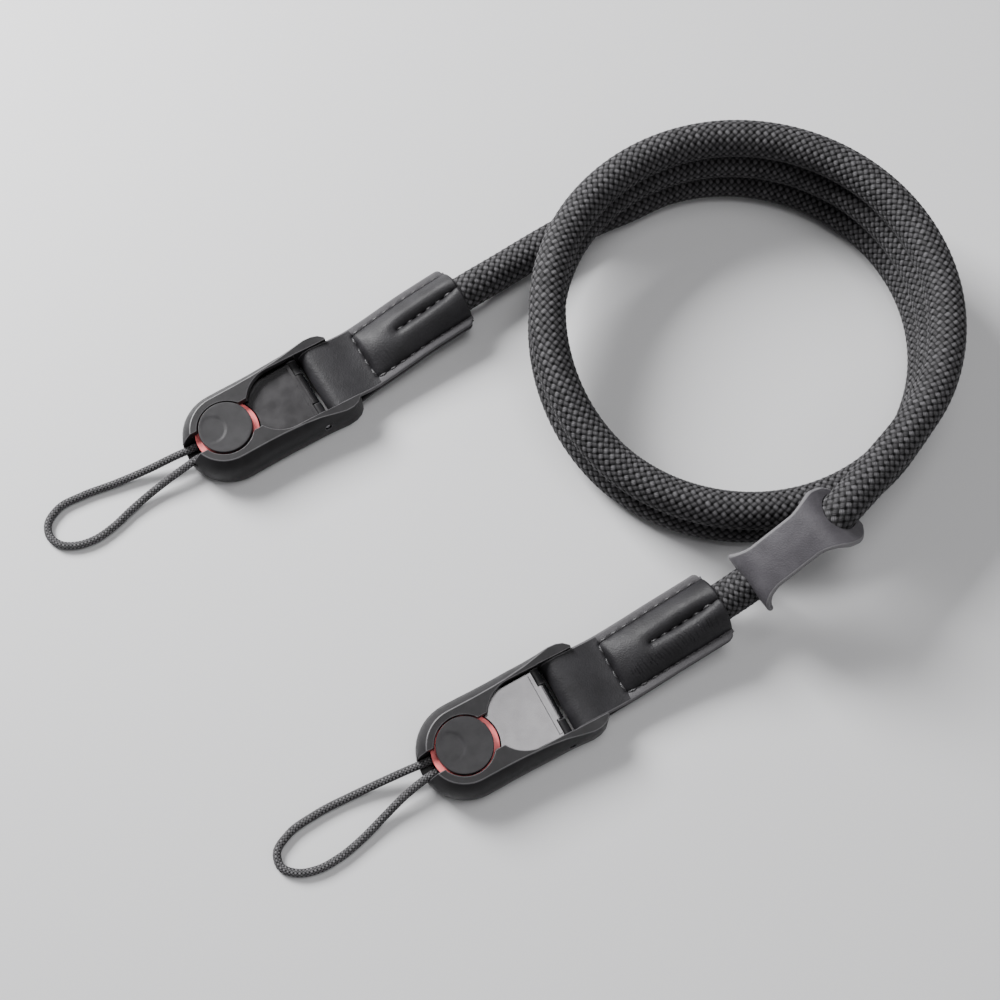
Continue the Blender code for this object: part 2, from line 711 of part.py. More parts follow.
def keeper_mesh():
    """The middle surface of the keeper's leather, laid along the rope where it comes off the coil."""
    here = Vector(ROPE_WAY_OUT[KEEPER_KNOT])
    ahead = Vector(ROPE_WAY_OUT[KEEPER_KNOT - 1]) - Vector(ROPE_WAY_OUT[KEEPER_KNOT + 1])
    ahead.normalize()
    sideways = Vector((0.0, 0.0, 1.0)).cross(ahead).normalized()
    upward = ahead.cross(sideways)
    low, high = (keeper_side(end) for end in KEEPER_ENDS)
    points = []
    for along, up, half in low[:0:-1] + high:
        for share in KEEPER_COLUMNS:
            points.append(here + ahead * along + upward * up + sideways * (half * share))
    count = len(KEEPER_COLUMNS)
    faces = []
    for row in range(len(low) + len(high) - 2):
        for column in range(count - 1):
            corner = row * count + column
            faces.append((corner, corner + count, corner + count + 1, corner + 1))
    return mesh_from("keeper", points, faces)


def rope_clearance_tool():
    """The rope's way through the keeper, wider by the gap that the holes leave."""
    sides = 2 * (ROPE_RESOLUTION + 2)
    radius = (ROPE_RADIUS + SEAT_GAP) / cos(pi / sides)
    way = rope_points()[-ROPE_WAY_OUT_POINTS:]
    guide = bpy.data.objects.new("rope_guide", tube_curve("rope_guide", way, radius, ROPE_RESOLUTION))
    cutters.objects.link(guide)
    bpy.context.view_layer.update()
    graph = bpy.context.evaluated_depsgraph_get()
    mesh = bpy.data.meshes.new_from_object(guide.evaluated_get(graph), depsgraph=graph)
    shell = bmesh.new()
    shell.from_mesh(mesh)
    bmesh.ops.remove_doubles(shell, verts=shell.verts, dist=WELD_DISTANCE)
    shell.to_mesh(mesh)
    shell.free()
    tool = bpy.data.objects.new("rope_clearance", mesh)
    tool.matrix_world = guide.matrix_world
    cutters.objects.link(tool)
    bpy.data.objects.remove(guide, do_unlink=True)
    return as_cutter(tool)


def thicken(piece, thickness):
    solidify = piece.modifiers.new("leather thickness", "SOLIDIFY")
    solidify.thickness = thickness
    solidify.offset = 0.0


# Assembly


def add_connector(number, connector, shared):
    heading = radians(connector["heading_deg"])
    frame = new_empty(f"connector_{number}", base, (connector["x"], connector["y"], 0.0), heading)
    place(f"housing_{number}", shared["housing"], frame)
    place(f"latch_plate_{number}", shared["latch_plate"], frame, (PIN_X, 0.0, PIN_Z))
    place(f"hinge_pin_{number}", shared["hinge_pin"], frame, (PIN_X, 0.0, PIN_Z))
    turn_profile(place(f"anchor_base_{number}", shared["anchor_base"], frame))
    turn_profile(place(f"anchor_cap_{number}", shared["anchor_cap"], frame))
    sleeve = place(f"sleeve_{number}", finish_mesh(sleeve_mesh("sleeve", connector), "sleeve_leather"), frame)
    thicken(sleeve, LEATHER_THICKNESS)
    rope_end = finish_mesh(rope_end_mesh("rope_end", connector), "rope_braid")
    place(f"rope_end_{number}", rope_end, frame)
    way = ANCHOR_CORD_WAYS[number - 1]
    route = smooth_way(way, ANCHOR_CORD_SPACING, 0, len(way) - 1)
    start = (-ANCHOR_NECK_RADIUS - SEAT_GAP, way[0][1], way[0][2])
    end = (-ANCHOR_NECK_RADIUS - SEAT_GAP, way[-1][1], way[-1][2])
    cord_way = [start, *route, end]
    cord = tube_curve("anchor_cord", cord_way, ANCHOR_CORD_RADIUS, ANCHOR_CORD_RESOLUTION)
    cord.materials.append(looks["anchor_cord_braid"])
    place(f"anchor_cord_{number}", cord, frame)


def stand_on_origin():
    """Moves the whole strap so that its hard pieces and sleeves are centred over the origin."""
    bpy.context.view_layer.update()
    graph = bpy.context.evaluated_depsgraph_get()
    corners = []
    for piece in strap.objects:
        if piece.type != "MESH" or piece.name.startswith(("rope", "keeper")):
            continue
        mesh = piece.evaluated_get(graph).data
        points = np.empty(3 * len(mesh.vertices), dtype=np.float32)
        mesh.vertices.foreach_get("co", points)
        turned = points.reshape(-1, 3) @ np.array(piece.matrix_world.to_3x3()).T
        corners.append(turned + np.array(piece.matrix_world.translation))
    corners = np.vstack(corners)
    middle = (corners.min(axis=0) + corners.max(axis=0)) / 2
    base.location = (-float(middle[0]), -float(middle[1]), 0.0)
    bpy.context.view_layer.update()


clear_scene()
strap = new_collection("camera_strap")
cutters = new_collection("cutters")
looks = {name: new_look(name) for name in LOOKS}
base = new_empty("strap_frame", None, (0.0, 0.0, 0.0))

bpy.ops.mesh.primitive_cylinder_add(vertices=PIN_SEGMENTS, radius=PIN_RADIUS, depth=2 * PIN_HALF)
pin = bpy.context.object
pin_mesh = pin.data
pin_mesh.transform(Matrix.Rotation(pi / 2, 4, "X"))
bpy.data.objects.remove(pin, do_unlink=True)

shared_meshes = {
    "housing": finish_mesh(housing_mesh(), "housing_plastic"),
    "latch_plate": finish_mesh(latch_plate_mesh(), "latch_plate_steel"),
    "hinge_pin": finish_mesh(pin_mesh, "hinge_pin_steel"),
    "anchor_base": finish_mesh(anchor_base_mesh(), "anchor_red"),
    "anchor_cap": finish_mesh(anchor_cap_mesh(), "anchor_cap_plastic"),
}
for number, connector in enumerate(CONNECTORS, start=1):
    add_connector(number, connector, shared_meshes)

rope_curve = tube_curve("rope", rope_points(), ROPE_RADIUS, ROPE_RESOLUTION)
rope_curve.materials.append(looks["rope_braid"])
place("rope", rope_curve, base)

keeper = place("keeper", finish_mesh(keeper_mesh(), "keeper_leather"), base)
thicken(keeper, KEEPER_THICKNESS)
holes = keeper.modifiers.new("holes for the rope", "BOOLEAN")
holes.operation = "DIFFERENCE"
holes.object = rope_clearance_tool()
holes.object.parent = base

stand_on_origin()
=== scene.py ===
"""Looks of the coiled camera strap: braided rope, sewn leather sleeves, leather keeper, connectors
with their latch plates, and the anchors with their cord loops. Metres, +Z up, floor at z = 0."""

from math import cos, pi, radians, sin, tan

import bmesh
import bpy
import numpy as np
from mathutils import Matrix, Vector


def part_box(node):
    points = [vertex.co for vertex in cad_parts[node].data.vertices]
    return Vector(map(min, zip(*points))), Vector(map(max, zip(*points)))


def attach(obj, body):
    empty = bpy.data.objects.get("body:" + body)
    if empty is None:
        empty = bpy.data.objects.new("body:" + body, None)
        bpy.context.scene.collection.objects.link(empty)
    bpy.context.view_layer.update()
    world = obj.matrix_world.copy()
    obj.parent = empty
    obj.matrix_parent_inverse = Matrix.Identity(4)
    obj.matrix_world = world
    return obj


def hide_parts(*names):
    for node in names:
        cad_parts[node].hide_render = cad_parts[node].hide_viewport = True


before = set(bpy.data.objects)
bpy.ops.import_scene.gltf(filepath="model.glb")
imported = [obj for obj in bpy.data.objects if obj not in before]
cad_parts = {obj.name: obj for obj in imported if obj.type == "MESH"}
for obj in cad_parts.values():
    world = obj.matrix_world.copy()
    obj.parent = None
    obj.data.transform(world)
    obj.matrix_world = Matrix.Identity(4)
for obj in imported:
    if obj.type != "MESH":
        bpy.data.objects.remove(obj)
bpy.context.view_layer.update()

# Camera, aimed at the layout's origin
CAMERA_LENS_MM = 54.0
CAMERA_SENSOR_MM = 36.0
CAMERA_ELEVATION_DEG = 70.22
CAMERA_DISTANCE = 0.412555
CAMERA_NEAR = 0.01

# Floor and lights (place x, y, z; side of the square; watts)
FLOOR_SIZE = 3.0
FLOOR_COLOUR = (0.62, 0.62, 0.63)
FLOOR_ROUGHNESS = 0.6
WORLD_COLOUR = (0.84, 0.83, 0.85)
WORLD_STRENGTH = 0.17
LIGHTS = (
    {"name": "key", "place": (-0.52, 0.50, 0.50), "size": 0.36, "watts": 21.0},
    {"name": "overhead", "place": (0.12, 0.07, 0.80), "size": 0.36, "watts": 2.4},
    {"name": "fill", "place": (0.55, -0.35, 0.55), "size": 0.7, "watts": 1.5},
)

# Sizes repeated from the part
SEAT_GAP = 0.0003
TURN_GAP = 0.0006
FLOOR_GAP = 0.0001
ROPE_RADIUS = 0.005
COIL_RADIUS = 0.05356
COIL_CENTRE = (0.0663, 0.0449)
COIL_START_DEG = 124.0
COIL_SWEEP_DEG = 885.0
COIL_STEP_DEG = 15.0
COIL_RISE_FROM_DEG = 244.0
COIL_RISE_DEG = 76.0
COIL_LIFT = 2 * ROPE_RADIUS + TURN_GAP
ROPE_POINT_SPACING = 0.013
PIN_X = 0.0246
BAR_X = 0.0305
BAR_Z = 0.0050
BAR_RADIUS = 0.0019
ANCHOR_NECK_RADIUS = 0.0026
LEATHER_THICKNESS = 0.0013
LEATHER_HALF = LEATHER_THICKNESS / 2
SLEEVE_HALF_WIDTH = 0.0093
SLEEVE_LENGTH = 0.0443
SEAM_START = 0.0131
SEAM_HALF = 0.0073
SLEEVE_SWELL = 0.00565
PLY_GAP = 0.0003
ROPE_INSIDE = 0.0015
SWELL_ROUNDNESS = 0.75
PLY_HEIGHT = (LEATHER_THICKNESS + PLY_GAP) / 2
WRAP_RADIUS = BAR_RADIUS + SEAT_GAP + LEATHER_HALF
VALLEY_HALF = 0.0017

# Places along the strip of a sleeve, from the middle of its wrap
WRAP_HALF = pi * WRAP_RADIUS / 2
END_SEAM = WRAP_HALF + SEAM_START
STRIP_END = WRAP_HALF + SLEEVE_LENGTH

# Skins of leather: steps round an edge, sections that close an end, step for the normals, grids
EDGE_STEPS = 6
END_TURNS_DEG = (25.0, 50.0, 72.0)
NORMAL_STEP = 0.00008
SLEEVE_ROWS = {"top": 230, "wrap": 18, "bottom": 80}
SLEEVE_COLUMNS = {"padded": 45, "flange": 8}
MAP_NAME = "along and across"

# Unevenness of the sleeve's leather: radians per metre along and across, share of the phase, height
WAVES = ((410, 300, 1.0, 1.0), (270, -620, 2.1, 0.8), (760, 210, 3.3, 0.6), (150, 900, 1.0, 0.4))
WAVE_HEIGHT = 0.00020
WRINKLE_LENGTHS = (0.00080, 0.00127)
WRINKLE_HEIGHT = 0.000045
WRINKLE_BEND = 0.0009
WRINKLE_SLANT = 0.16
RIDGE_PLACE = 0.0040
RIDGE_HALF = 0.0022

# Seams: a row along each side, one across the end and one down the middle; lengths of thread
MOUTH_MARGIN = 0.0012
STITCH_PITCH = 0.0034
STITCH_SHARE = 0.74
SIDE_ROW = 0.0074
MIDDLE_ROW_LENGTH = 0.0205
THREAD_RADIUS = 0.00033
THREAD_NORMAL_STEP = 0.0004
THREAD_RISE = 1.5
THREAD_SINK = 0.8
THREAD_FLATNESS = 0.8
STITCH_RINGS = 9
STITCH_SIDES = 10
HOLE_DEPTH = 0.00055
HOLE_RADIUS = 0.00055
SEAM_DEPTH = 0.00020
MIDDLE_DEPTH = 0.00055
CREASE_HALF = 0.00065
SIDE_BLEND = 0.0006
END_BLEND = 0.001
MIDDLE_BLEND = 0.0012
# Colour of the painted shade in the seams' creases
CREASE_SHADE_COLOUR = (0.001, 0.001, 0.001)
PRESSED_FROM = 0.0079
CORNER_ROUND = 0.0016

# Keeper, as in the part, and the grid and the cut of its skin
KEEPER_THICKNESS = 0.0017
KEEPER_WAIST_HALF = 0.0054
KEEPER_EAR_HALF = 0.0081
KEEPER_LIFT = 0.0006
KEEPER_KNOT = 3
KEEPER_END_ROUND = 0.0060
KEEPER_END_SHARE = 0.60
KEEPER_FLAT = 0.0060
KEEPER_BEND = 0.0100
KEEPER_STEP = 0.00045
KEEPER_COLUMNS = 37
KEEPER_CUP = 0.00035
KEEPER_CUT_REACH = 60
KEEPER_CUT_SIDES = 48
KEEPER_SHARP_DEG = 50
KEEPER_ENDS = (
    {"side": -1.0, "length": 0.0236, "bend_deg": 80.0},
    {"side": 1.0, "length": 0.0250, "bend_deg": 66.0},
)

# The rope's way from the first sleeve to the coil, and from the coil to the second sleeve (x, y, z)
ROPE_WAY_IN = (
    (0.0000, 0.0672, 0.0063),
    (0.0130, 0.0764, 0.0055),
    (0.0245, 0.0836, 0.0052),
)
ROPE_WAY_OUT = (
    (0.0999, 0.0018, 0.0260),
    (0.0913, -0.0078, 0.0260),
    (0.0845, -0.0145, 0.0254),
    (0.0748, -0.0213, 0.0199),
    (0.0649, -0.0278, 0.0135),
)

# Anchor cord loops in their connector's frame (x, y, z)
ANCHOR_CORD_WAYS = (
    (
        (-0.0100, 0.0018, 0.0046),
        (-0.0160, 0.0027, 0.0037),
        (-0.0233, 0.0037, 0.0023),
        (-0.0339, 0.0053, 0.0013),
        (-0.0426, 0.0068, 0.0011),
        (-0.0500, 0.0068, 0.0011),
        (-0.0543, 0.0041, 0.0011),
        (-0.0553, 0.0006, 0.0011),
        (-0.0538, -0.0029, 0.0011),
        (-0.0500, -0.0054, 0.0011),
        (-0.0450, -0.0064, 0.0011),
        (-0.0395, -0.0058, 0.0011),
        (-0.0328, -0.0040, 0.0013),
        (-0.0250, -0.0026, 0.0021),
        (-0.0170, -0.0019, 0.0035),
        (-0.0105, -0.0016, 0.0045),
    ),
    (
        (-0.0100, 0.0018, 0.0046),
        (-0.0150, 0.0024, 0.0038),
        (-0.0215, 0.0031, 0.0025),
        (-0.0303, 0.0038, 0.0013),
        (-0.0415, 0.0040, 0.0011),
        (-0.0495, 0.0028, 0.0011),
        (-0.0540, 0.0000, 0.0011),
        (-0.0546, -0.0035, 0.0011),
        (-0.0517, -0.0068, 0.0011),
        (-0.0470, -0.0085, 0.0011),
        (-0.0402, -0.0085, 0.0011),
        (-0.0333, -0.0071, 0.0012),
        (-0.0257, -0.0048, 0.0019),
        (-0.0184, -0.0028, 0.0033),
        (-0.0110, -0.0017, 0.0045),
    ),
)

# Hard pieces of a connector, as in the part, with the dish, dimple and rounded edges of their skins
HOUSING_HEIGHT = 0.0104
EDGE_ROUND = 0.00022
EDGE_SHARP_DEG = 32.0
CAP_RADIUS = 0.0074
CAP_RISE = 0.0004
CAP_BEVEL = 0.00035
CAP_DISH = 0.00010
DIMPLE_OFFSET = (-0.0036, 0.0012)
DIMPLE_RADIUS = 0.0044
DIMPLE_DEPTH = 0.00012
DIMPLE_EDGE = 0.26
DIMPLE_FADE = 1.7
CAP_LEVEL_RIM = 0.14
CAP_RINGS = 40
CAP_FIRST_RING = 0.012
FLANGE_RADIUS = 0.0089
FLANGE_TOP = 0.0078
FLANGE_BOTTOM = 0.0064
FLANGE_BEVEL = 0.0002
FLANGE_SHARP_DEG = 40
FOOT_RADIUS = 0.0062
FOOT_BOTTOM = 0.0021
FOOT_TOP = 0.0032
CAP_BOTTOM = FLANGE_TOP + SEAT_GAP
PIN_RADIUS = 0.0007
PIN_HALF = 0.0124
PIN_Z = 0.0054
PIN_BEVEL = 0.00025
PIN_SIDES = 32
TURN_SIDES = 144

# Turned pieces: radius of the ring next to a pole, and steps round a corner
POLE_RINGS = {"cap": 0.0002, "flange": 0.0004, "pin": 0.00005}
ROUND_STEPS = {"cap": 7, "flange": 5, "pin": 6}
ROUND_SHARE = 0.45

# Where each connector lies, and how its sleeve leaves it
CONNECTORS = (
    {"x": -0.0748, "y": 0.0173, "heading_deg": 31.5, "sleeve_yaw_deg": 3.1,
     "mouth_z": 0.00725, "mouth_slope": 0.0},
    {"x": -0.0089, "y": -0.0696, "heading_deg": 28.4, "sleeve_yaw_deg": 1.8,
     "mouth_z": 0.0097, "mouth_slope": 0.21},
)

# The padded part of the sleeve, from the end seam to the mouth; its valley is deeper than the part's
SLEEVE_SWELLS = (
    {"x": 0.000, "swell": 0.00, "valley": 0.00},
    {"x": 0.040, "swell": 0.36, "valley": 0.00},
    {"x": 0.120, "swell": 0.52, "valley": 0.00},
    {"x": 0.260, "swell": 0.64, "valley": 0.03},
    {"x": 0.380, "swell": 0.72, "valley": 0.32},
    {"x": 0.580, "swell": 0.81, "valley": 0.44},
    {"x": 0.800, "swell": 0.92, "valley": 0.38},
    {"x": 1.000, "swell": 1.01, "valley": 0.12},
)

# Braids: cells round the rope or cord, length of a cell, depth of the gaps, radius at the crests
ROPE_BRAID = {"cells": 14, "pitch": 0.00217, "relief": 0.00062, "crest": 0.00514}
CORD_BRAID = {"cells": 7, "pitch": 0.00100, "relief": 0.00018, "crest": 0.00110}
BRAID_STEPS = 4
BRAID_CROWN = 2.6
BRAID_ROUNDNESS = 0.55
SHALLOW_HOLE = 0.35
HOLE_SHARE = 0.35


# Curves


def smooth(share):
    share = np.clip(share, 0.0, 1.0)
    return share * share * (3.0 - 2.0 * share)


def cubic(t, length, start, start_slope, end, end_slope):
    """The cubic over this length from start to end with these slopes, at share t of the length."""
    return (
        (2 * t**3 - 3 * t**2 + 1) * start
        + (t**3 - 2 * t**2 + t) * length * start_slope
        + (3 * t**2 - 2 * t**3) * end
        + (t**3 - t**2) * length * end_slope
    )


def run_of(line):
    """How far along the line each of its points is."""
    return np.concatenate(([0.0], np.cumsum(np.linalg.norm(np.diff(line, axis=0), axis=1))))


def smooth_way(knots, spacing, first, last):
    """Points about spacing apart on a smooth curve through the knots, from knot first to knot last:
    on each stretch a cubic whose slopes at its knots follow the neighbouring knots."""
    knots = np.array(knots, dtype=float)
    along = run_of(knots)
    slopes = np.gradient(knots, along, axis=0, edge_order=2)
    count = max(2, int(np.ceil((along[last] - along[first]) / spacing)))
    places = np.linspace(along[first], along[last], count + 1)
    stretch = np.clip(np.searchsorted(along, places, side="right") - 1, 0, len(along) - 2)
    length = (along[stretch + 1] - along[stretch])[:, None]
    t = (places[:, None] - along[stretch][:, None]) / length
    return cubic(t, length, knots[stretch], slopes[stretch], knots[stretch + 1], slopes[stretch + 1])


def even_line(knots, spacing):
    """The smooth curve through the knots as points an even distance apart, close to spacing."""
    fine = smooth_way(knots, spacing / 4, 0, len(knots) - 1)
    along = run_of(fine)
    count = int(round(along[-1] / spacing))
    places = np.linspace(0.0, along[-1], count + 1)
    return np.stack([np.interp(places, along, fine[:, k]) for k in range(3)], axis=-1)


def length_of(line):
    return float(run_of(line)[-1])


def table_curve(table, name, at):
    """A smooth curve through one column of a table that never overshoots: each slope is the harmonic
    mean of those beside it, or level where they differ in sign."""
    x = np.array([row["x"] for row in table])
    y = np.array([row[name] for row in table])
    steep = np.diff(y) / np.diff(x)
    product = steep[1:] * steep[:-1]
    inner = np.where(product > 0, 2 * product / np.where(product > 0, steep[1:] + steep[:-1], 1.0), 0.0)
    slopes = np.concatenate((steep[:1], inner, steep[-1:]))
    at = np.clip(at, x[0], x[-1])
    k = np.clip(np.searchsorted(x, at, side="right") - 1, 0, len(x) - 2)
    length = x[k + 1] - x[k]
    return cubic((at - x[k]) / length, length, y[k], slopes[k], y[k + 1], slopes[k + 1])


# Places


def heading_turn(connector):
    turn = radians(connector["heading_deg"])
    return np.array(((cos(turn), -sin(turn), 0.0), (sin(turn), cos(turn), 0.0), (0.0, 0.0, 1.0)))


def layout_place(connector, points):
    """From a connector's own frame to the layout."""
    return np.asarray(points) @ heading_turn(connector).T + (connector["x"], connector["y"], 0.0)


def layout_shift():
    """How far the part moved the layout: read from where the first hinge pin is."""
    low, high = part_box("hinge_pin_1")
    middle = (np.array(low) + np.array(high)) / 2
    shift = middle - layout_place(CONNECTORS[0], (PIN_X, 0.0, 0.0))
    return np.array((shift[0], shift[1], 0.0))


SHIFT = layout_shift()


def world_place(connector, points):
    return layout_place(connector, points) + SHIFT


# Routes


def coil_point(swept_deg):
    """The rope's middle after this many degrees of the coil, a turn higher after each rise."""
    polar = radians(COIL_START_DEG - swept_deg)
    risen = 0.0
    for turn in range(int(np.ceil(COIL_SWEEP_DEG / 360.0))):
        risen += float(smooth((swept_deg - COIL_RISE_FROM_DEG - 360.0 * turn) / COIL_RISE_DEG))
    return (
        COIL_CENTRE[0] + COIL_RADIUS * cos(polar),
        COIL_CENTRE[1] + COIL_RADIUS * sin(polar),
        ROPE_RADIUS + FLOOR_GAP + COIL_LIFT * risen,
    )


def sleeve_middle(connector, s):
    """How far aside and how high the sleeve's middle line is, s from the crossbar."""
    share = s / SLEEVE_LENGTH
    aside = tan(radians(connector["sleeve_yaw_deg"])) * s * smooth(s / (SLEEVE_LENGTH - SEAM_START))
    rise = (connector["mouth_z"] - BAR_Z) * share**2 * (3.0 - 2.0 * share)
    lift = connector["mouth_slope"] * SLEEVE_LENGTH * (share**3 - share**2)
    return aside, BAR_Z + rise + lift


def mouth_knots(connector):
    """Two points in line with the sleeve's mouth, one just inside it and one just outside."""
    aside, height = sleeve_middle(connector, SLEEVE_LENGTH)
    inner_aside, inner_height = sleeve_middle(connector, SLEEVE_LENGTH - ROPE_INSIDE)
    ahead = np.array((ROPE_INSIDE, aside - inner_aside, height - inner_height))
    ahead /= np.linalg.norm(ahead)
    inner = np.array((BAR_X + SLEEVE_LENGTH - ROPE_INSIDE, inner_aside, inner_height))
    outer = inner + ahead * (ROPE_INSIDE + ROPE_RADIUS)
    return [tuple(layout_place(connector, inner)), tuple(layout_place(connector, outer))]


def rope_points():
    """The rope's middle line from the first sleeve through the coil to the second sleeve."""
    steps = round(COIL_SWEEP_DEG / COIL_STEP_DEG)
    coil = [coil_point(COIL_STEP_DEG * i) for i in range(steps + 1)]
    first, second = CONNECTORS
    way_in = mouth_knots(first) + list(ROPE_WAY_IN) + coil[:2]
    way_out = coil[-2:] + list(ROPE_WAY_OUT) + mouth_knots(second)[::-1]
    entry = smooth_way(way_in, ROPE_POINT_SPACING, 1, len(way_in) - 2)
    leaving = smooth_way(way_out, ROPE_POINT_SPACING, 1, len(way_out) - 2)
    return np.vstack((way_in[:1], entry[:-1], coil, leaving[1:], way_out[-1:])) + SHIFT


def anchor_cord_points(number):
    """An anchor cord's middle line, from the anchor's neck round the loop and back to it."""
    way = ANCHOR_CORD_WAYS[number - 1]
    start = (-ANCHOR_NECK_RADIUS - SEAT_GAP, way[0][1], way[0][2])
    end = (-ANCHOR_NECK_RADIUS - SEAT_GAP, way[-1][1], way[-1][2])
    return world_place(CONNECTORS[number - 1], [start, *way, end])


# Meshes


def grid_corners(rows, columns):
    """Rows and columns of the four corners of each quad of a grid with that many steps each way."""
    row, column = np.mgrid[0:rows, 0:columns]
    corner_rows = np.stack((row, row, row + 1, row + 1), axis=-1).reshape(-1, 4)
    corner_columns = np.stack((column, column + 1, column + 1, column), axis=-1).reshape(-1, 4)
    return corner_rows, corner_columns


def mesh_of(name, points, faces, uvs=None):
    """A mesh from an array of points and a list of arrays of faces, each array with one number of
    corners, and one array of corner coordinates for each where the piece has a map."""
    mesh = bpy.data.meshes.new(name)
    sizes = np.concatenate([np.full(len(group), group.shape[1]) for group in faces])
    corners = np.concatenate([group.ravel() for group in faces]).astype(np.int32)
    starts = np.concatenate(([0], np.cumsum(sizes)[:-1])).astype(np.int32)
    mesh.vertices.add(len(points))
    mesh.vertices.foreach_set("co", np.asarray(points, dtype=np.float32).ravel())
    mesh.loops.add(len(corners))
    mesh.loops.foreach_set("vertex_index", corners)
    mesh.polygons.add(len(sizes))
    mesh.polygons.foreach_set("loop_start", starts)
    if uvs is not None:
        spots = np.concatenate([group.reshape(-1, 2) for group in uvs]).astype(np.float32)
        mesh.uv_layers.new(name=MAP_NAME).data.foreach_set("uv", spots.ravel())
    mesh.update(calc_edges=True)
    mesh.validate()
    mesh.shade_smooth()
    return mesh


def new_object(name, data):
    made = bpy.data.objects.new(name, data)
    bpy.context.scene.collection.objects.link(made)
    return made


def add_piece(name, mesh, looks, body, replaced=()):
    piece = new_object(name, mesh)
    for look in looks:
        mesh.materials.append(look)
    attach(piece, body)
    if replaced:
        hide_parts(*replaced)
    return piece


def braid_height(a, b):
    """A one-over-one braid's surface, 0 in the holes to 1 on the crests. Strands of one family lie
    between whole numbers of a, those of the other between whole numbers of b, and which is on top
    changes from cell to cell. A strand is round across, and it dives at both ends of its cell. Every
    second corner of the cells is a deep hole, and the others are shallow."""
    i = np.floor(a + 1e-6)
    j = np.floor(b + 1e-6)
    over = np.mod(i - j, 2) < 1
    across = np.where(over, a - i, b - j)
    along = np.where(over, b - j, a - i)
    crown = np.clip(1.0 - np.abs(2 * across - 1) ** BRAID_CROWN, 0.0, 1.0) ** BRAID_ROUNDNESS
    dive = np.clip(np.sin(pi * along), 0.0, 1.0) ** BRAID_ROUNDNESS
    depth = np.where(np.mod(np.round(a) - np.round(b), 2) < 1, 1.0, SHALLOW_HOLE)
    hole = 1.0 - depth * np.cos(pi * across) ** 2 * np.cos(pi * along) ** 2
    return HOLE_SHARE * hole + (1.0 - HOLE_SHARE) * crown * dive


def unit(vectors):
    return vectors / np.maximum(np.linalg.norm(vectors, axis=-1, keepdims=True), 1e-12)


def outward_of(line, sides):
    """Unit vectors out from each point of the line, in this many directions round it, from one that
    is level and square to the line."""
    turn = 2 * pi * np.arange(sides) / sides
    ahead = unit(np.gradient(line, axis=0))
    sideways = unit(np.cross((0.0, 0.0, 1.0), ahead))
    upward = np.cross(ahead, sideways)
    return np.cos(turn)[:, None] * sideways[:, None] + np.sin(turn)[:, None] * upward[:, None]


def lids_of(rows, sides):
    """The first and last ring of a tube of rings as faces."""
    ring = np.arange(sides)
    return np.stack((ring[::-1], (rows - 1) * sides + ring))


def braided_mesh(name, line, braid):
    """A tube round the line. Row r and column c of its grid lie where the two families of strands
    have run (r + c) and (r - c) quarters of a cell, and the height of the braid there moves the point
    out from the holes' depth to the crest. Each quad is split along the way that its cell rounds."""
    columns = braid["cells"] * BRAID_STEPS
    rows = len(line)
    row, column = np.mgrid[0:rows, 0:columns]
    height = braid_height((row + column) / BRAID_STEPS, (row - column) / BRAID_STEPS)
    out = braid["crest"] - braid["relief"] * (1.0 - height)
    points = line[:, None] + out[..., None] * outward_of(line, columns)
    corner_rows, corner_columns = grid_corners(rows - 1, columns)
    low_pair = height[corner_rows[:, 0], corner_columns[:, 0]] + height[
        corner_rows[:, 2], corner_columns[:, 2] % columns]
    high_pair = height[corner_rows[:, 1], corner_columns[:, 1] % columns] + height[
        corner_rows[:, 3], corner_columns[:, 3]]
    order = np.where((high_pair > low_pair)[:, None], (0, 1, 3, 1, 2, 3), (0, 1, 2, 0, 2, 3))
    picked_rows = np.take_along_axis(corner_rows, order, axis=1).reshape(-1, 3)
    picked_columns = np.take_along_axis(corner_columns, order, axis=1).reshape(-1, 3)
    faces = picked_rows * columns + picked_columns % columns
    uvs = np.stack((picked_rows, picked_columns), axis=-1) / BRAID_STEPS
    first = np.arange(columns)
    following = (first + 1) % columns
    start_fan = np.stack((np.full(columns, rows * columns), following, first), axis=-1)
    last = (rows - 1) * columns
    end_fan = np.stack((np.full(columns, rows * columns + 1), last + first, last + following), axis=-1)
    points = np.vstack((points.reshape(-1, 3), line[0], line[-1]))
    fan_uvs = np.zeros((2 * columns, 3, 2))
    return mesh_of(name, points, [faces, start_fan, end_fan], [uvs, fan_uvs])


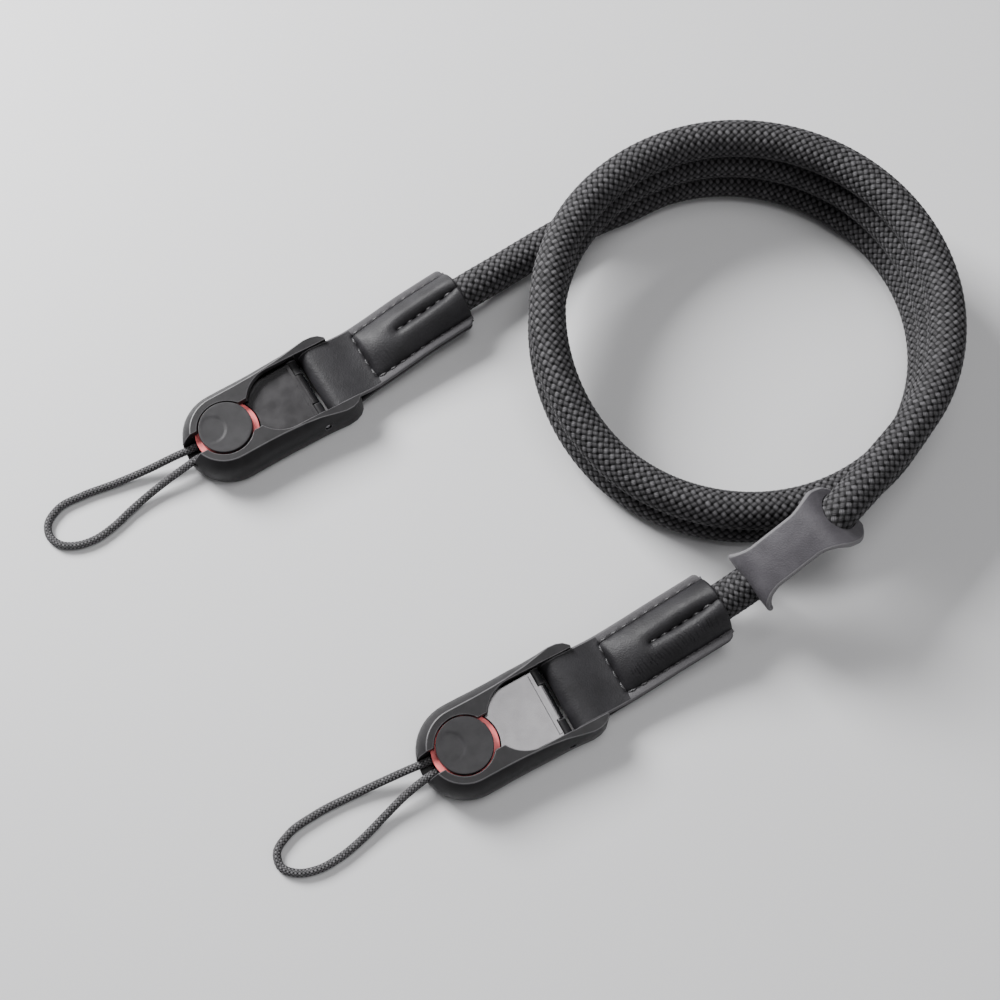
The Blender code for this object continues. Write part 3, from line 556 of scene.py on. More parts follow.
def strip_mesh(name, points, normals, thickness, along, across):
    """A strip of leather as one closed skin. Its rows are sections round it: the middle surface moved
    out by half the thickness, a half circle round the edge, the middle surface moved in, and the other
    edge. At both ends the sections shrink along a quarter circle, and flat faces close them. The map
    holds metres along the strip and metres round its section from the middle of the outer face."""
    half = thickness / 2
    count = points.shape[1]
    turn = (pi * np.arange(1, EDGE_STEPS) / EDGE_STEPS)[None, :, None]
    edges = []
    for last, inner in ((-1, -2), (0, 1)):
        outward = points[:, last] - points[:, inner]
        outward = unit(outward - normals[:, last] * np.sum(outward * normals[:, last], axis=1)[:, None])
        level = points[:, last, None] + half * np.sin(turn) * outward[:, None]
        edges.append((level, level + half * np.cos(turn) * normals[:, last, None]))
    flat = np.concatenate((points, edges[0][0], points[:, ::-1], edges[1][0][:, ::-1]), axis=1)
    ring = np.concatenate((points + half * normals, edges[0][1], (points - half * normals)[:, ::-1],
                           edges[1][1][:, ::-1]), axis=1)
    begin = unit(points[0] - points[1]).mean(axis=0)
    finish = unit(points[-1] - points[-2]).mean(axis=0)
    caps = []
    for row, outward in ((0, begin), (-1, finish)):
        turns = np.radians(END_TURNS_DEG)[:, None, None]
        caps.append(flat[row] + (ring[row] - flat[row]) * np.cos(turns) + outward * half * np.sin(turns))
    skin = np.concatenate((caps[0][::-1], ring, caps[1]))
    rows, columns = skin.shape[:2]
    corner_rows, corner_columns = grid_corners(rows - 1, columns)
    faces = corner_rows * columns + corner_columns % columns
    extra = half * np.radians(END_TURNS_DEG)
    along_all = np.concatenate((along[0] - extra[::-1], along, along[-1] + extra))
    bend = half * pi * np.arange(1, EDGE_STEPS + 1) / EDGE_STEPS
    inside = across[-1] + bend[-1] + np.cumsum(np.diff(across)[::-1])
    from_here = np.concatenate((across, across[-1] + bend, inside[:-1], across[0] - bend[::-1]))
    to_there = np.concatenate((across[1:], across[-1] + bend, inside, across[0] - bend[:-1][::-1],
                               across[:1]))
    uvs = np.empty((*corner_rows.shape, 2))
    uvs[..., 0] = along_all[corner_rows]
    uvs[:, (0, 3), 1] = from_here[corner_columns[:, (0, 3)]]
    uvs[:, (1, 2), 1] = to_there[corner_columns[:, (0, 3)]]
    top = np.arange(count - 1)
    bottom = count + EDGE_STEPS - 1 + (count - 1) - top
    first_cap = np.stack((top + 1, top, bottom, bottom - 1), axis=-1)
    right = np.arange(count - 1, count + EDGE_STEPS)
    left = np.concatenate((np.arange(2 * count + EDGE_STEPS - 2, columns), [0]))
    first_ends = np.stack((right[::-1], left[::-1]))
    start = (rows - 1) * columns
    groups = [faces, first_cap, first_ends, start + first_cap[:, ::-1], start + first_ends[:, ::-1]]
    cap_uvs = [np.full((*group.shape, 2), across[-1] + half) for group in groups[1:]]
    return mesh_of(name, skin.reshape(-1, 3), groups, [uvs, *cap_uvs])


# Sleeve


def stitches():
    """Where each stitch begins and ends on a ply: s from the crossbar, v across."""
    rows = []
    mouth = SLEEVE_LENGTH - MOUTH_MARGIN
    for v in (-SIDE_ROW, SIDE_ROW):
        rows.append(((mouth, v), (SEAM_START, v)))
    rows.append(((SEAM_START, -SIDE_ROW), (SEAM_START, SIDE_ROW)))
    rows.append(((mouth, 0.0), (SLEEVE_LENGTH - MIDDLE_ROW_LENGTH, 0.0)))
    starts, ends = [], []
    for first, last in rows:
        first, last = np.array(first), np.array(last)
        count = int(round(np.linalg.norm(last - first) / STITCH_PITCH))
        places = (np.arange(count) + 0.5)[:, None] / count
        reach = (last - first) / count * STITCH_SHARE / 2
        starts.append(first + (last - first) * places - reach)
        ends.append(first + (last - first) * places + reach)
    return np.concatenate(starts), np.concatenate(ends)


STITCH_STARTS, STITCH_ENDS = stitches()


def soft_waves(number, s, v):
    """Slow unevenness of the leather, between -1 and 1: the sum of four slanted waves."""
    phase = 1.7 * number
    total = sum(height * np.sin(a * s + b * v + share * phase) for a, b, share, height in WAVES)
    return total / sum(height for *_, height in WAVES)


def fine_wrinkles(number, s, v):
    """Creases across the lower ridge, close together, bent by the slow waves."""
    bent = s + WRINKLE_BEND * soft_waves(number + 5, s, v) + WRINKLE_SLANT * v
    bent = bent + 0.00005 * np.sin(3100 * v + 900 * s)
    short, long = WRINKLE_LENGTHS
    creases = np.sin(2 * pi * bent / short) + 0.5 * np.sin(2 * pi * bent / long + 1.3)
    share = (s - SEAM_START) / (SLEEVE_LENGTH - SEAM_START)
    ridge = np.exp(-(((v + RIDGE_PLACE) / RIDGE_HALF) ** 2)) * smooth((share - 0.02) / 0.15)
    if number == 1:
        ridge = ridge * 0.8 * smooth((0.42 - share) / 0.3)
    return creases * ridge


def ply_height(number, s, v, side):
    """The middle of a ply's thickness above the sleeve's middle line, as in the part: the tongue
    closes from the crossbar to the end seam, then the ply swells over the rope between the side seams
    and dips along the middle one. Added to it: slow waves, fine wrinkles, a narrow crease along every
    seam, and a dent at each hole."""
    tongue = WRAP_RADIUS + (PLY_HEIGHT - WRAP_RADIUS) * smooth(s / SEAM_START)
    share = (s - SEAM_START) / (SLEEVE_LENGTH - SEAM_START)
    swell = table_curve(SLEEVE_SWELLS, "swell", share) * SLEEVE_SWELL
    valley = table_curve(SLEEVE_SWELLS, "valley", share) * np.exp(-((v / VALLEY_HALF) ** 2))
    arch = np.cos(np.clip(np.abs(v) / SEAM_HALF, 0.0, 1.0) * pi / 2) ** SWELL_ROUNDNESS
    padded = smooth(share / 0.1) * arch
    height = tongue + swell * (arch - valley)
    height = height + WAVE_HEIGHT * soft_waves(number, s, v * side) * padded
    height = height + WRINKLE_HEIGHT * fine_wrinkles(number, s, v) * (side > 0)
    past_end = smooth((s - SEAM_START) / END_BLEND + 0.5)
    pulled = SEAM_DEPTH * np.exp(-(((np.abs(v) - SIDE_ROW) / CREASE_HALF) ** 2)) * past_end
    inside = smooth((SIDE_ROW - np.abs(v)) / SIDE_BLEND + 0.5)
    pulled = np.maximum(pulled, SEAM_DEPTH * np.exp(-(((s - SEAM_START) / CREASE_HALF) ** 2)) * inside)
    past_start = smooth((s - SLEEVE_LENGTH + MIDDLE_ROW_LENGTH) / MIDDLE_BLEND + 0.5)
    pulled = np.maximum(pulled, MIDDLE_DEPTH * np.exp(-((v / CREASE_HALF) ** 2)) * past_start)
    height = height - pulled
    for ends in (STITCH_STARTS, STITCH_ENDS):
        gaps = (s[..., None] - ends[:, 0]) ** 2 + (v[..., None] - ends[:, 1]) ** 2
        height = height - HOLE_DEPTH * np.exp(-gaps / HOLE_RADIUS**2).sum(axis=-1)
    return height


def sleeve_point(number, q, v):
    """The strip's middle surface, q metres along it from the middle of the wrap, toward the top ply's
    mouth where q is negative: the top ply, half a turn round the crossbar, and the bottom ply."""
    side = np.where(q < 0, 1.0, -1.0)
    on_ply = np.abs(q) > WRAP_HALF
    turn = np.clip(q / WRAP_HALF, -1.0, 1.0) * pi / 2
    s = np.where(on_ply, np.abs(q) - WRAP_HALF, -WRAP_RADIUS * np.cos(turn))
    flat = side * ply_height(number, np.maximum(s, 0.0), v, side)
    height = np.where(on_ply, flat, -WRAP_RADIUS * np.sin(turn))
    connector = CONNECTORS[number - 1]
    aside, middle = sleeve_middle(connector, np.maximum(s, 0.0))
    return world_place(connector, np.stack((BAR_X + s, aside + v, middle + height), axis=-1))


def sleeve_normal(number, q, v, reach):
    """Outward from the strip: square to small steps across and along it."""
    across = sleeve_point(number, q, v + reach) - sleeve_point(number, q, v - reach)
    along = sleeve_point(number, q + reach, v) - sleeve_point(number, q - reach, v)
    return unit(np.cross(across, along))


def add_sleeve(number):
    """The strip, with columns close together at its seams and rounded corners at both its ends."""
    top = np.linspace(-STRIP_END, -WRAP_HALF, SLEEVE_ROWS["top"])
    wrap = np.linspace(-WRAP_HALF, WRAP_HALF, SLEEVE_ROWS["wrap"])[1:]
    bottom = np.linspace(WRAP_HALF, STRIP_END, SLEEVE_ROWS["bottom"])[1:]
    along = np.concatenate((top, wrap, bottom))
    even = np.linspace(-1.0, 1.0, SLEEVE_COLUMNS["padded"])
    padded = SEAM_HALF * (0.55 * np.sin(even * pi / 2) + 0.45 * even)
    flange = np.linspace(SEAM_HALF, SLEEVE_HALF_WIDTH, SLEEVE_COLUMNS["flange"])[1:]
    across = np.concatenate((-flange[::-1], padded, flange))
    corner = np.clip(np.abs(along) - (STRIP_END - CORNER_ROUND), 0.0, CORNER_ROUND)
    narrow = CORNER_ROUND - np.sqrt(CORNER_ROUND**2 - corner**2 * 0.98)
    outside = np.clip((np.abs(across) - SEAM_HALF) / (SLEEVE_HALF_WIDTH - SEAM_HALF), 0.0, 1.0)
    v = across[None, :] - (np.sign(across) * outside)[None, :] * narrow[:, None]
    q = np.broadcast_to(along[:, None], v.shape)
    points = sleeve_point(number, q, v)
    normals = sleeve_normal(number, q, v, NORMAL_STEP)
    mesh = strip_mesh(f"sleeve_leather_{number}", points, normals, LEATHER_THICKNESS, along, across)
    add_piece(mesh.name, mesh, [SLEEVE_LOOK], "strap", [f"sleeve_{number}"])


def add_stitching(number):
    """Threads on both plies: each is a tube along the leather that rises from one hole and dips into
    the next, its ends closed in the leather."""
    t = np.linspace(0.0, 1.0, STITCH_RINGS)
    turn = 2 * pi * np.arange(STITCH_SIDES) / STITCH_SIDES
    all_points = []
    for side in (1.0, -1.0):
        place = STITCH_STARTS[:, None] * (1 - t)[None, :, None] + STITCH_ENDS[:, None] * t[None, :, None]
        q = -side * (place[..., 0] + WRAP_HALF)
        v = place[..., 1]
        normal = sleeve_normal(number, q, v, THREAD_NORMAL_STEP)
        lift = LEATHER_HALF + THREAD_RADIUS * (THREAD_RISE * np.sin(pi * t) ** 0.5 - THREAD_SINK)
        middle = sleeve_point(number, q, v) + normal * lift[None, :, None]
        ahead = unit(np.gradient(middle, axis=1))
        sideways = unit(np.cross(normal, ahead))
        upward = np.cross(ahead, sideways)
        width = THREAD_RADIUS * np.clip(np.sin(pi * (0.06 + 0.88 * t)), 0.0, 1.0) ** 0.35
        ring = (np.cos(turn)[:, None] * sideways[:, :, None]
                + THREAD_FLATNESS * np.sin(turn)[:, None] * upward[:, :, None])
        all_points.append(middle[:, :, None] + ring * width[None, :, None, None])
    points = np.concatenate(all_points)
    count = len(points)
    corner_rows, corner_columns = grid_corners(STITCH_RINGS - 1, STITCH_SIDES)
    quads = corner_rows * STITCH_SIDES + corner_columns % STITCH_SIDES
    each = STITCH_RINGS * STITCH_SIDES
    offsets = (np.arange(count) * each)[:, None, None]
    tubes = (quads[None] + offsets).reshape(-1, 4)
    ends = (lids_of(STITCH_RINGS, STITCH_SIDES)[None] + offsets).reshape(-1, STITCH_SIDES)
    spot = np.stack((corner_rows / (STITCH_RINGS - 1), corner_columns / STITCH_SIDES), axis=-1)
    spots = np.broadcast_to(spot[None], (count, *spot.shape)).reshape(-1, 2)
    lid_spots = np.zeros((ends.size, 2))
    mesh = mesh_of(f"stitching_{number}", points.reshape(-1, 3), [tubes, ends], [spots, lid_spots])
    add_piece(f"stitching_{number}", mesh, [THREAD_LOOK], "strap")


# Keeper


def keeper_side(end, step):
    """One half of the keeper's middle line, from its middle outward: along, up, half width."""
    count = int(round(end["length"] / step))
    reached = end["length"] * np.arange(count + 1) / count
    middles = (reached[1:] + reached[:-1]) / 2
    bend = radians(end["bend_deg"]) * smooth((middles - KEEPER_FLAT) / KEEPER_BEND)
    along = np.concatenate(([0.0], np.cumsum(np.cos(bend)))) * end["length"] / count
    up = -np.concatenate(([0.0], np.cumsum(np.sin(bend)))) * end["length"] / count
    up = up + ROPE_RADIUS + SEAT_GAP + KEEPER_THICKNESS / 2 + KEEPER_LIFT
    half = KEEPER_WAIST_HALF + (KEEPER_EAR_HALF - KEEPER_WAIST_HALF) * smooth(
        (reached - KEEPER_FLAT) / KEEPER_BEND)
    past = np.clip(reached + KEEPER_END_ROUND - end["length"], 0.0, None) / KEEPER_END_ROUND
    return along * end["side"], up, half * np.sqrt(1.0 - (1.0 - KEEPER_END_SHARE**2) * past**2)


def plain_tube(name, line, radius, sides):
    """A closed tube round the line, for cutting holes."""
    points = line[:, None] + radius * outward_of(line, sides)
    corner_rows, corner_columns = grid_corners(len(line) - 1, sides)
    faces = corner_rows * sides + corner_columns % sides
    return mesh_of(name, points.reshape(-1, 3), [faces, lids_of(len(line), sides)])


def cut_mesh(name, mesh, cutter):
    """The mesh after the cutter is taken away from it."""
    shape = new_object(name, mesh)
    tool = new_object(cutter.name, cutter)
    boolean = shape.modifiers.new(cutter.name, "BOOLEAN")
    boolean.operation = "DIFFERENCE"
    boolean.object = tool
    bpy.context.view_layer.update()
    graph = bpy.context.evaluated_depsgraph_get()
    result = bpy.data.meshes.new_from_object(shape.evaluated_get(graph), depsgraph=graph)
    result.name = name
    for used in (shape, tool):
        bpy.data.objects.remove(used, do_unlink=True)
    return result


def add_keeper(line):
    """The strip bent over the rope where it comes off the coil, with the rope's two holes cut."""
    here = np.array(ROPE_WAY_OUT[KEEPER_KNOT])
    ahead = unit(np.array(ROPE_WAY_OUT[KEEPER_KNOT - 1]) - np.array(ROPE_WAY_OUT[KEEPER_KNOT + 1]))
    sideways = unit(np.cross((0.0, 0.0, 1.0), ahead))
    upward = np.cross(ahead, sideways)
    low, high = (keeper_side(end, KEEPER_STEP) for end in KEEPER_ENDS)
    along, up, half = (np.concatenate((a[:0:-1], b)) for a, b in zip(low, high))
    across = np.linspace(-1.0, 1.0, KEEPER_COLUMNS)
    cup = KEEPER_CUP * (1.0 - across**2)
    points = (here + SHIFT + ahead * along[:, None, None]
              + upward * (up[:, None, None] + cup[None, :, None])
              + sideways * (half[:, None] * across)[..., None])
    normals = unit(np.cross(np.gradient(points, axis=0), np.gradient(points, axis=1)))
    run = run_of(points[:, KEEPER_COLUMNS // 2])
    strip = strip_mesh("keeper_strip", points[:, ::-1], normals[:, ::-1], KEEPER_THICKNESS,
                       run - run.mean(), across * KEEPER_EAR_HALF)
    gaps = np.linalg.norm(line - (here + SHIFT), axis=1)
    near = int(np.argmin(gaps))
    guide = line[near - KEEPER_CUT_REACH:near + KEEPER_CUT_REACH]
    tube = plain_tube("rope_way", guide, ROPE_RADIUS + SEAT_GAP, KEEPER_CUT_SIDES)
    mesh = cut_mesh("keeper_leather", strip, tube)
    mesh.shade_smooth()
    mesh.set_sharp_from_angle(angle=radians(KEEPER_SHARP_DEG))
    return add_piece("keeper_leather", mesh, [KEEPER_LOOK], "strap", ["keeper"])


# Hard pieces


def turned_points(profile, sides):
    """A profile of (radius, height) turned round the z axis: points[row, side]."""
    turn = 2 * pi * np.arange(sides) / sides
    radius = profile[:, 0, None]
    height = np.broadcast_to(profile[:, 1, None], (len(profile), sides))
    return np.stack((radius * np.cos(turn), radius * np.sin(turn), height), axis=-1)


def turned_mesh(name, points, top, bottom):
    """A closed skin over rings of points from the top ring down, with a point at each pole."""
    rows, sides = points.shape[:2]
    corner_rows, corner_columns = grid_corners(rows - 1, sides)
    faces = (corner_rows * sides + corner_columns % sides)[:, ::-1]
    ring = np.arange(sides)
    following = (ring + 1) % sides
    last = (rows - 1) * sides
    crown = np.stack((np.full(sides, rows * sides), ring, following), axis=-1)
    base = np.stack((np.full(sides, rows * sides + 1), last + following, last + ring), axis=-1)
    return mesh_of(name, np.vstack((points.reshape(-1, 3), top, bottom)), [faces, crown, base])


def round_corners(corners, radius, steps):
    """The profile through the corners, each inner corner replaced by an arc-like curve (a quadratic
    from one side to the other) that begins this radius away from it."""
    corners = np.array(corners, dtype=float)
    line = [corners[:1]]
    t = np.linspace(0.0, 1.0, steps)[:, None]
    for before, here, after in zip(corners[:-2], corners[1:-1], corners[2:]):
        into = here + unit(before - here) * min(radius, ROUND_SHARE * np.linalg.norm(before - here))
        out = here + unit(after - here) * min(radius, ROUND_SHARE * np.linalg.norm(after - here))
        line.append((1 - t) ** 2 * into + 2 * t * (1 - t) * here + t**2 * out)
    line.append(corners[-1:])
    return np.concatenate(line)


def add_turned(kind, number, points, top, bottom, look, node):
    """A turned piece, given in its connector's frame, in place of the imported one."""
    skin, crown, base = (world_place(CONNECTORS[number - 1], each) for each in (points, top, bottom))
    mesh = turned_mesh(f"{kind}_{number}", skin, crown, base)
    return add_piece(f"{kind}_{number}", mesh, [look], "strap", [f"{node}_{number}"])


def cap_sink(x, y):
    """How deep the cap's face lies here: a dish by a share of its radius squared, and a finger dimple
    toward the nose that has a crisp edge on its rear side and fades out forward."""
    rim = CAP_RADIUS - CAP_BEVEL
    far = np.sqrt(x**2 + y**2) / rim
    near = np.sqrt((x - DIMPLE_OFFSET[0]) ** 2 + (y - DIMPLE_OFFSET[1]) ** 2) / DIMPLE_RADIUS
    forward = smooth((x - DIMPLE_OFFSET[0] + DIMPLE_RADIUS) / (DIMPLE_FADE * DIMPLE_RADIUS))
    level = 1.0 - smooth((far - 1.0 + CAP_LEVEL_RIM) / CAP_LEVEL_RIM)
    dimple = DIMPLE_DEPTH * smooth((1.0 - near) / DIMPLE_EDGE) * forward
    return (CAP_DISH * (1.0 - far**2) + dimple) * level


def add_cap(number):
    top = HOUSING_HEIGHT + CAP_RISE
    rim = CAP_RADIUS - CAP_BEVEL
    spread = np.linspace(CAP_FIRST_RING, 1.0, CAP_RINGS) * rim
    face = np.stack((spread, np.full_like(spread, top)), axis=-1)
    corners = ((rim, top), (CAP_RADIUS, top), (CAP_RADIUS, CAP_BOTTOM), (POLE_RINGS["cap"], CAP_BOTTOM))
    profile = np.concatenate((face[:-1], round_corners(corners, CAP_BEVEL, ROUND_STEPS["cap"])))
    points = turned_points(profile, TURN_SIDES)
    on_face = np.arange(len(points)) < len(face)
    points[..., 2] -= cap_sink(points[..., 0], points[..., 1]) * on_face[:, None]
    pole = (0.0, 0.0, top - float(cap_sink(np.array(0.0), np.array(0.0))))
    add_turned("cap", number, points, pole, (0.0, 0.0, CAP_BOTTOM), CAP_LOOK,
               "anchor_cap")


def add_flange(number):
    """The red base under the cap: flange, neck and foot, with rounded corners."""
    pole = POLE_RINGS["flange"]
    corners = ((pole, FLANGE_TOP), (FLANGE_RADIUS, FLANGE_TOP), (FLANGE_RADIUS, FLANGE_BOTTOM),
               (ANCHOR_NECK_RADIUS, FLANGE_BOTTOM), (ANCHOR_NECK_RADIUS, FOOT_TOP), (FOOT_RADIUS, FOOT_TOP),
               (FOOT_RADIUS, FOOT_BOTTOM), (pole, FOOT_BOTTOM))
    points = turned_points(round_corners(corners, FLANGE_BEVEL, ROUND_STEPS["flange"]), TURN_SIDES)
    piece = add_turned("flange", number, points, (0.0, 0.0, FLANGE_TOP), (0.0, 0.0, FOOT_BOTTOM),
                       FLANGE_LOOK, "anchor_base")
    piece.data.set_sharp_from_angle(angle=radians(FLANGE_SHARP_DEG))


def add_pin(number):
    """The pin on its side, with rounded ends."""
    corners = ((POLE_RINGS["pin"], PIN_HALF), (PIN_RADIUS, PIN_HALF), (PIN_RADIUS, -PIN_HALF),
               (POLE_RINGS["pin"], -PIN_HALF))
    upright = turned_points(round_corners(corners, PIN_BEVEL, ROUND_STEPS["pin"]), PIN_SIDES)
    points = np.stack((PIN_X + upright[..., 0], upright[..., 2], PIN_Z - upright[..., 1]), axis=-1)
    add_turned("pin", number, points, (PIN_X, PIN_HALF, PIN_Z), (PIN_X, -PIN_HALF, PIN_Z), PIN_LOOK,
               "hinge_pin")


def add_housing(number):
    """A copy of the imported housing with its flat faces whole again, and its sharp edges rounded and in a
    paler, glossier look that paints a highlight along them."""
    node = f"housing_{number}"
    mesh = bpy.data.objects[node].data.copy()
    mesh.materials.clear()
    if "custom_normal" in mesh.attributes:
        mesh.attributes.remove(mesh.attributes["custom_normal"])
    shell = bmesh.new()
    shell.from_mesh(mesh)
    bmesh.ops.remove_doubles(shell, verts=shell.verts, dist=0.000002)
    bmesh.ops.dissolve_limit(shell, angle_limit=radians(1.0), verts=shell.verts, edges=shell.edges)
    shell.to_mesh(mesh)
    shell.free()
    mesh.set_sharp_from_angle(angle=radians(EDGE_SHARP_DEG))
    mesh.shade_smooth()
    piece = add_piece(f"connector_body_{number}", mesh, [HOUSING_LOOK, HOUSING_EDGE_HIGHLIGHT_LOOK], "strap",
                      [node])
    bevel = piece.modifiers.new("rounded edges", "BEVEL")
    bevel.width = EDGE_ROUND
    bevel.segments = 2
    bevel.limit_method = "ANGLE"
    bevel.angle_limit = radians(EDGE_SHARP_DEG)
    bevel.harden_normals = True
    bevel.use_clamp_overlap = False
    # The rounded edges take the paler plastic, a painted highlight along them
    bevel.material = 1


# Materials


class Look:
    """A material with short calls for the nodes that its surface is made of."""

    def __init__(self, name):
        self.material = bpy.data.materials.new(name)
        self.material.use_nodes = True
        self.nodes = self.material.node_tree.nodes
        self.surface = self.nodes["Principled BSDF"]

    def fill(self, node, inputs):
        """Each input takes a number, a colour or another node's output."""
        for name, value in inputs.items():
            socket = node.inputs[name]
            if isinstance(value, bpy.types.NodeSocket):
                self.material.node_tree.links.new(value, socket)
            else:
                socket.default_value = (*value, 1.0) if socket.type == "RGBA" else value

    def add(self, kind, output, inputs, **settings):
        node = self.nodes.new("ShaderNode" + kind)
        for name, value in settings.items():
            setattr(node, name, value)
        self.fill(node, inputs)
        return node.outputs[output]

    def do(self, operation, *values, clamp=False):
        return self.add("Math", 0, dict(enumerate(values)), operation=operation, use_clamp=clamp)

    def map_place(self):
        """The two coordinates of the piece's own map."""
        place = self.add("UVMap", "UV", {}, uv_map=MAP_NAME)
        split = self.add("SeparateXYZ", "X", {0: place}).node
        return split.outputs["X"], split.outputs["Y"]

    def object_place(self):
        return self.add("TexCoord", "Object", {})

    def noise(self, scale, detail, rough=0.5):
        return self.add("TexNoise", "Fac", {"Vector": self.object_place(), "Scale": scale, "Detail": detail,
                                            "Roughness": rough})

    def spread(self, value, low, high, first=0.0, last=1.0):
        """The value from low to high as first to last, and level beyond them."""
        return self.add("MapRange", "Result", {"Value": value, "From Min": low, "From Max": high,
                                               "To Min": first, "To Max": last})

    def mix(self, share, first, second):
        return self.add("Mix", "Result", {"Factor": share, "A": first, "B": second}, data_type="RGBA")

    def finish(self, height, strength, distance, **surface):
        """The surface's inputs, with underscores for spaces, and the relief of this height."""
        normal = self.add("Bump", "Normal", {"Height": height, "Strength": strength, "Distance": distance})
        self.fill(self.surface, {"Normal": normal})
        self.fill(self.surface, {name.replace("_", " "): value for name, value in surface.items()})
        return self.material


def tinted(colour, share):
    return tuple(share * part for part in colour)


def braid_material(name, dark, light, cell_size, yarns):
    """Strands of parallel yarns. Painted shade darkens each strand's sides, the ends where it dives and the
    deep pits at every second corner of the cells, and lies between the yarns, whose crowns take a
    painted highlight; strands of one family take a painted highlight over the other. The map's two
    coordinates count cells along and round, and their sum and difference count strands of the two
    families, as in the mesh."""
    look = Look(name)
    do = look.do
    along, around = look.map_place()
    a, b = do("ADD", along, around), do("SUBTRACT", along, around)
    i, j = do("FLOOR", a), do("FLOOR", b)
    over = do("LESS_THAN", do("FLOORED_MODULO", do("SUBTRACT", i, j), 2.0), 0.5)
    other = do("SUBTRACT", 1.0, over)
    part_a, part_b = do("SUBTRACT", a, i), do("SUBTRACT", b, j)
    across = do("ADD", do("MULTIPLY", over, part_a), do("MULTIPLY", other, part_b))
    run = do("ADD", do("MULTIPLY", over, part_b), do("MULTIPLY", other, part_a))
    # Painted shade: each strand darker towards its sides and where it dives under the next one
    off_middle = do("ABSOLUTE", do("SUBTRACT", do("MULTIPLY", across, 2.0), 1.0))
    crown = do("SUBTRACT", 1.0, do("POWER", off_middle, 4.0))
    dive = do("POWER", do("SINE", do("MULTIPLY", run, pi)), 1.1)
    body = do("MULTIPLY", crown, dive, clamp=True)

    # Painted shade in the deep pits at every second corner of the cells
    to_a, to_b = do("ROUND", a), do("ROUND", b)
    off_corner = [do("POWER", do("ABSOLUTE", do("SUBTRACT", here, there)), 2.0)
                  for here, there in ((a, to_a), (b, to_b))]
    pit = do("SUBTRACT", 1.0, do("DIVIDE", do("SQRT", do("ADD", *off_corner)), 0.38), clamp=True)
    deep = do("LESS_THAN", do("FLOORED_MODULO", do("SUBTRACT", to_a, to_b), 2.0), 0.5)
    open_part = do("SUBTRACT", 1.0, do("MULTIPLY", do("MULTIPLY", pit, deep), 1.6), clamp=True)
    lit = do("MULTIPLY", do("ADD", do("MULTIPLY", body, 0.82), 0.18), open_part)

    wander = do("MULTIPLY", do("SUBTRACT", look.noise(1.0 / cell_size, 3.0), 0.5), 0.30)
    lines = do("SINE", do("MULTIPLY", do("ADD", across, wander), 2 * pi * yarns))
    ridge = do("ADD", do("MULTIPLY", lines, 0.5), 0.5)
    cell = look.add("CombineXYZ", 0, {"X": i, "Y": j})
    tint = look.add("TexWhiteNoise", "Value", {"Vector": cell}, noise_dimensions="2D")
    # Painted shade between the yarns of a strand and painted highlight on their crowns
    shade = do("MULTIPLY", lit, do("ADD", do("MULTIPLY", ridge, 0.35), 0.60))
    shade = do("MULTIPLY", shade, do("ADD", do("MULTIPLY", tint, 0.45), 0.65))
    # Painted highlight: strands of one family brighter than those of the other, as fibres catch light by
    # their direction
    shade = do("MULTIPLY", shade, do("ADD", do("MULTIPLY", over, 0.50), 0.70), clamp=True)
    height = do("ADD", do("MULTIPLY", lit, 0.7), do("MULTIPLY", do("MULTIPLY", ridge, body), 0.45))
    return look.finish(height, 0.9, cell_size * 0.10, Base_Color=look.mix(shade, dark, light),
                       Roughness=0.55, Specular_IOR_Level=0.12, Sheen_Weight=0.05, Sheen_Roughness=0.35)


def painted_crease_shade(look, along, across):
    """How much painted shade a place of the sleeve takes for being near a seam's crease: along both sides,
    across the end and down the middle of the upper ply."""
    do = look.do
    far = do("ABSOLUTE", along)

    def near(value, middle):
        away = do("DIVIDE", do("ABSOLUTE", do("SUBTRACT", value, middle)), CREASE_HALF)
        return do("SUBTRACT", 1.0, away, clamp=True)

    side = do("MULTIPLY", near(across, SIDE_ROW), do("GREATER_THAN", far, END_SEAM))
    end = do("MULTIPLY", near(far, END_SEAM), do("LESS_THAN", across, SIDE_ROW))
    middle = do("MULTIPLY", near(across, 0.0), do("LESS_THAN", along, MIDDLE_ROW_LENGTH - STRIP_END))
    return do("MAXIMUM", do("MAXIMUM", side, end), middle)


